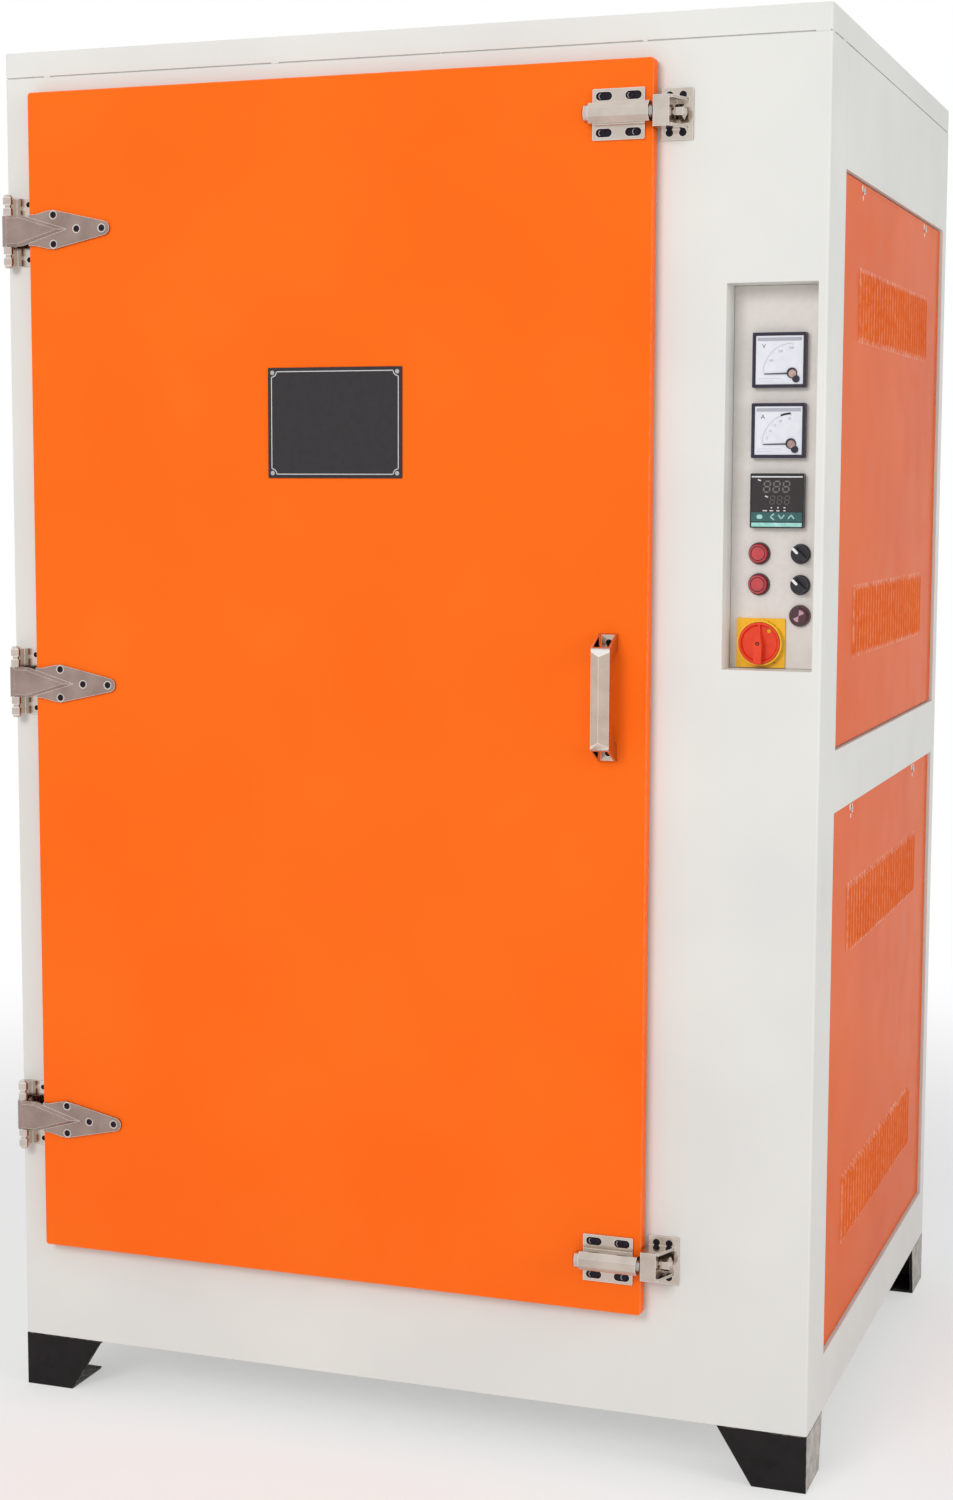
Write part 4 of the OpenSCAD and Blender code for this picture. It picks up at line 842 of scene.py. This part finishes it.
def finish_controller():
    """The temperature controller: an unlit display over a band of arrow keys and a light strip."""
    round_edges("controller", "controller", 0.6 * MM)
    top = METER / 2
    left = -METER / 2
    # The display lies 1.2 mm behind the face of the case, and the keys hardly stand before it
    display_depth = 1.2 * MM
    piece = Piece("controller_face", front_of("controller", display_depth))
    lift = display_depth + 0.05 * MM
    piece.slab(rectangle(69 * MM, 45 * MM, middle=(0, top - 28.5 * MM)), 0.1 * MM, "window")
    piece.slab(rectangle(68.5 * MM, 1.7 * MM, middle=(0, top - 4.6 * MM)), 0.95 * MM, "mark")
    piece.slab(rectangle(68.5 * MM, 12.2 * MM, middle=(0, top - 57.4 * MM)), lift, "key_band")
    piece.slab(rectangle(68 * MM, 5.4 * MM, middle=(0, top - 67.6 * MM)), 1.0 * MM, "strip", edge=0.2 * MM)
    window = Piece("controller_display", front_of("controller", display_depth - 0.1 * MM))
    for i in range(3):
        large_x = left + (17.6 + 12.9 * i) * MM
        small_x = left + (26.2 + 9.9 * i) * MM
        unlit_figure(window, large_x, top - 24.5 * MM, 8 * MM, 14 * MM, 1.9 * MM, "segment")
        unlit_figure(window, small_x, top - 40.4 * MM, 6 * MM, 10.6 * MM, 1.3 * MM, "dim_segment")
    for x, y in ((12, 9), (22, 30.6)):
        start = ((x - 2) * MM + left, top - (y - 0.8) * MM)
        end = ((x + 2) * MM + left, top - (y + 0.8) * MM)
        window.slab(stroke(start, end, 1.6 * MM), 0.1 * MM, "mark")
    for i in range(4):
        x = left + (20 + 8.8 * i) * MM
        window.slab(rectangle((6 - i) * MM, 1.4 * MM, middle=(x, top - 49.2 * MM)), 0.1 * MM, "mark")
        if i:
            dot = rectangle((1.5 + 0.4 * i) * MM, 1.5 * MM, middle=(x, top - 45.2 * MM))
            window.slab(dot, 0.1 * MM, "mark")
    window.done("cabinet")
    keys_y = top - 57.2 * MM
    piece.slab(rectangle(8 * MM, 5.6 * MM, 2.7 * MM, (left + 13.1 * MM, keys_y)), 0.1 * MM, "key_print",
               (0, 0, lift))
    # Three arrows, each by its place and its two ends with the tip between them
    arrows = {29.7: ((3, 4), (-2, 0), (3, -4)),
              42.5: ((-4, 2.5), (0, -2.5), (4, 2.5)),
              55.6: ((-4, -2.5), (0, 2.5), (4, -2.5))}
    for x, (first, tip, last) in arrows.items():
        point = (left + (x + tip[0]) * MM, keys_y + tip[1] * MM)
        for across, up in (first, last):
            arm = stroke(point, (left + (x + across) * MM, keys_y + up * MM), 1.6 * MM)
            piece.slab(arm, 0.1 * MM, "key_print", (0, 0, lift))
    piece.done("cabinet")


def finish_lamps():
    """Two red pilot lamps and the maroon alarm lamp with a plain pale sign."""
    coat_piece("pilot_lamps", "pilot_rim")
    low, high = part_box("pilot_lamps")
    middle = (low + high) / 2
    radius = (high.x - low.x) / 2
    piece = Piece("pilot_lenses", Matrix.Translation((middle.x, high.y, middle.z)) @ ON_FRONT)
    spread = (high.z - low.z) / 2 - radius
    bezel_h = 5 * MM
    for side in (-1, 1):
        at = (0, side * spread, bezel_h)
        piece.loft([circle(12.6 * MM, 0), circle(12.4 * MM, 4.2 * MM), circle(11.4 * MM, 5.6 * MM),
                    circle(8 * MM, 6.1 * MM), circle(3 * MM, 6.3 * MM)], "pilot", at)
    piece.done("cabinet")
    round_edges("alarm_lamp", "alarm", 0.8 * MM)
    piece = Piece("alarm_sign", front_of("alarm_lamp"))
    for side in (-1, 1):
        fan = [(0, 0)] + [(side * x, side * y) for x, y in arc(8 * MM, 25, 85, 8)]
        piece.slab(fan, 0.1 * MM, "emblem")
    piece.done("cabinet")


def finish_selectors():
    """Two black selector knobs with a white insert on the upper half of the bar."""
    for name in ("upper", "lower"):
        round_edges(name + "_selector_base", "selector", 0.4 * MM)
        knob = name + "_selector_knob"
        round_edges(knob, "selector", 0.6 * MM)
        piece = Piece(name + "_selector_pointer", front_of(knob))
        bar = rectangle(10 * MM, 3.5 * MM, 1.6 * MM, (6.0 * MM, 0))
        piece.slab(bar, 0.12 * MM, "pointer_bar", turn=Matrix.Rotation(math.radians(135), 4, "Z"))
        piece.done(body_of(knob))


def finish_main_switch():
    """The yellow plate and ring, with the red dial, its screw and the marks at the plate's corners."""
    round_edges("isolator_base", "switch_plate", 0.5 * MM)
    round_edges("isolator_knob", "switch_dial", 0.8 * MM)
    piece = Piece("isolator_screw", front_of("isolator_knob"))
    socket_screw(piece, 0, 0, -0.3 * MM, 2.6 * MM, 0.5 * MM)
    piece.done("main_switch")
    low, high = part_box("isolator_base")
    middle = (low + high) / 2
    plate_t = 3 * MM
    piece = Piece("isolator_marks", Matrix.Translation((middle.x, high.y - plate_t, middle.z)) @ ON_FRONT)
    for start, end in (((9.7, 29.7), (18.2, 24.5)), ((18.2, -27.0), (20.6, -25.6))):
        mark = stroke(Vector(start) * MM, Vector(end) * MM, 1.2 * MM)
        piece.slab(mark, 0.1 * MM, "switch_ink")
    piece.done("cabinet")


set_camera()
set_world()
lay_floor()
hang_lamp("key_lamp", (-0.7, -5.0, 3.2), (0.1, -0.4, 1.0), 1.8, 1.8, 94)
hang_lamp("side_lamp", (4.0, -1.5, 2.0), (0.6, -0.2, 1.1), 1.4, 2.2, 38)
FINISHES = make_finishes()
finish_cabinet()
weld_lid()
screw_side_panels()
finish_door()
line_nameplate()
finish_handle()
for hinge in ("top", "middle", "bottom"):
    finish_hinge(hinge)
for latch in ("upper", "lower"):
    finish_latch(latch)
finish_meter("upper_meter", "V", ((150, "100"), (119, "200"), (92, "300")), None)
finish_meter("lower_meter", "A", ((168, "5"), (150, "10"), (133, "15"), (116, "20"), (94, "30")), (91, 111))
finish_controller()
finish_lamps()
finish_selectors()
finish_main_switch()
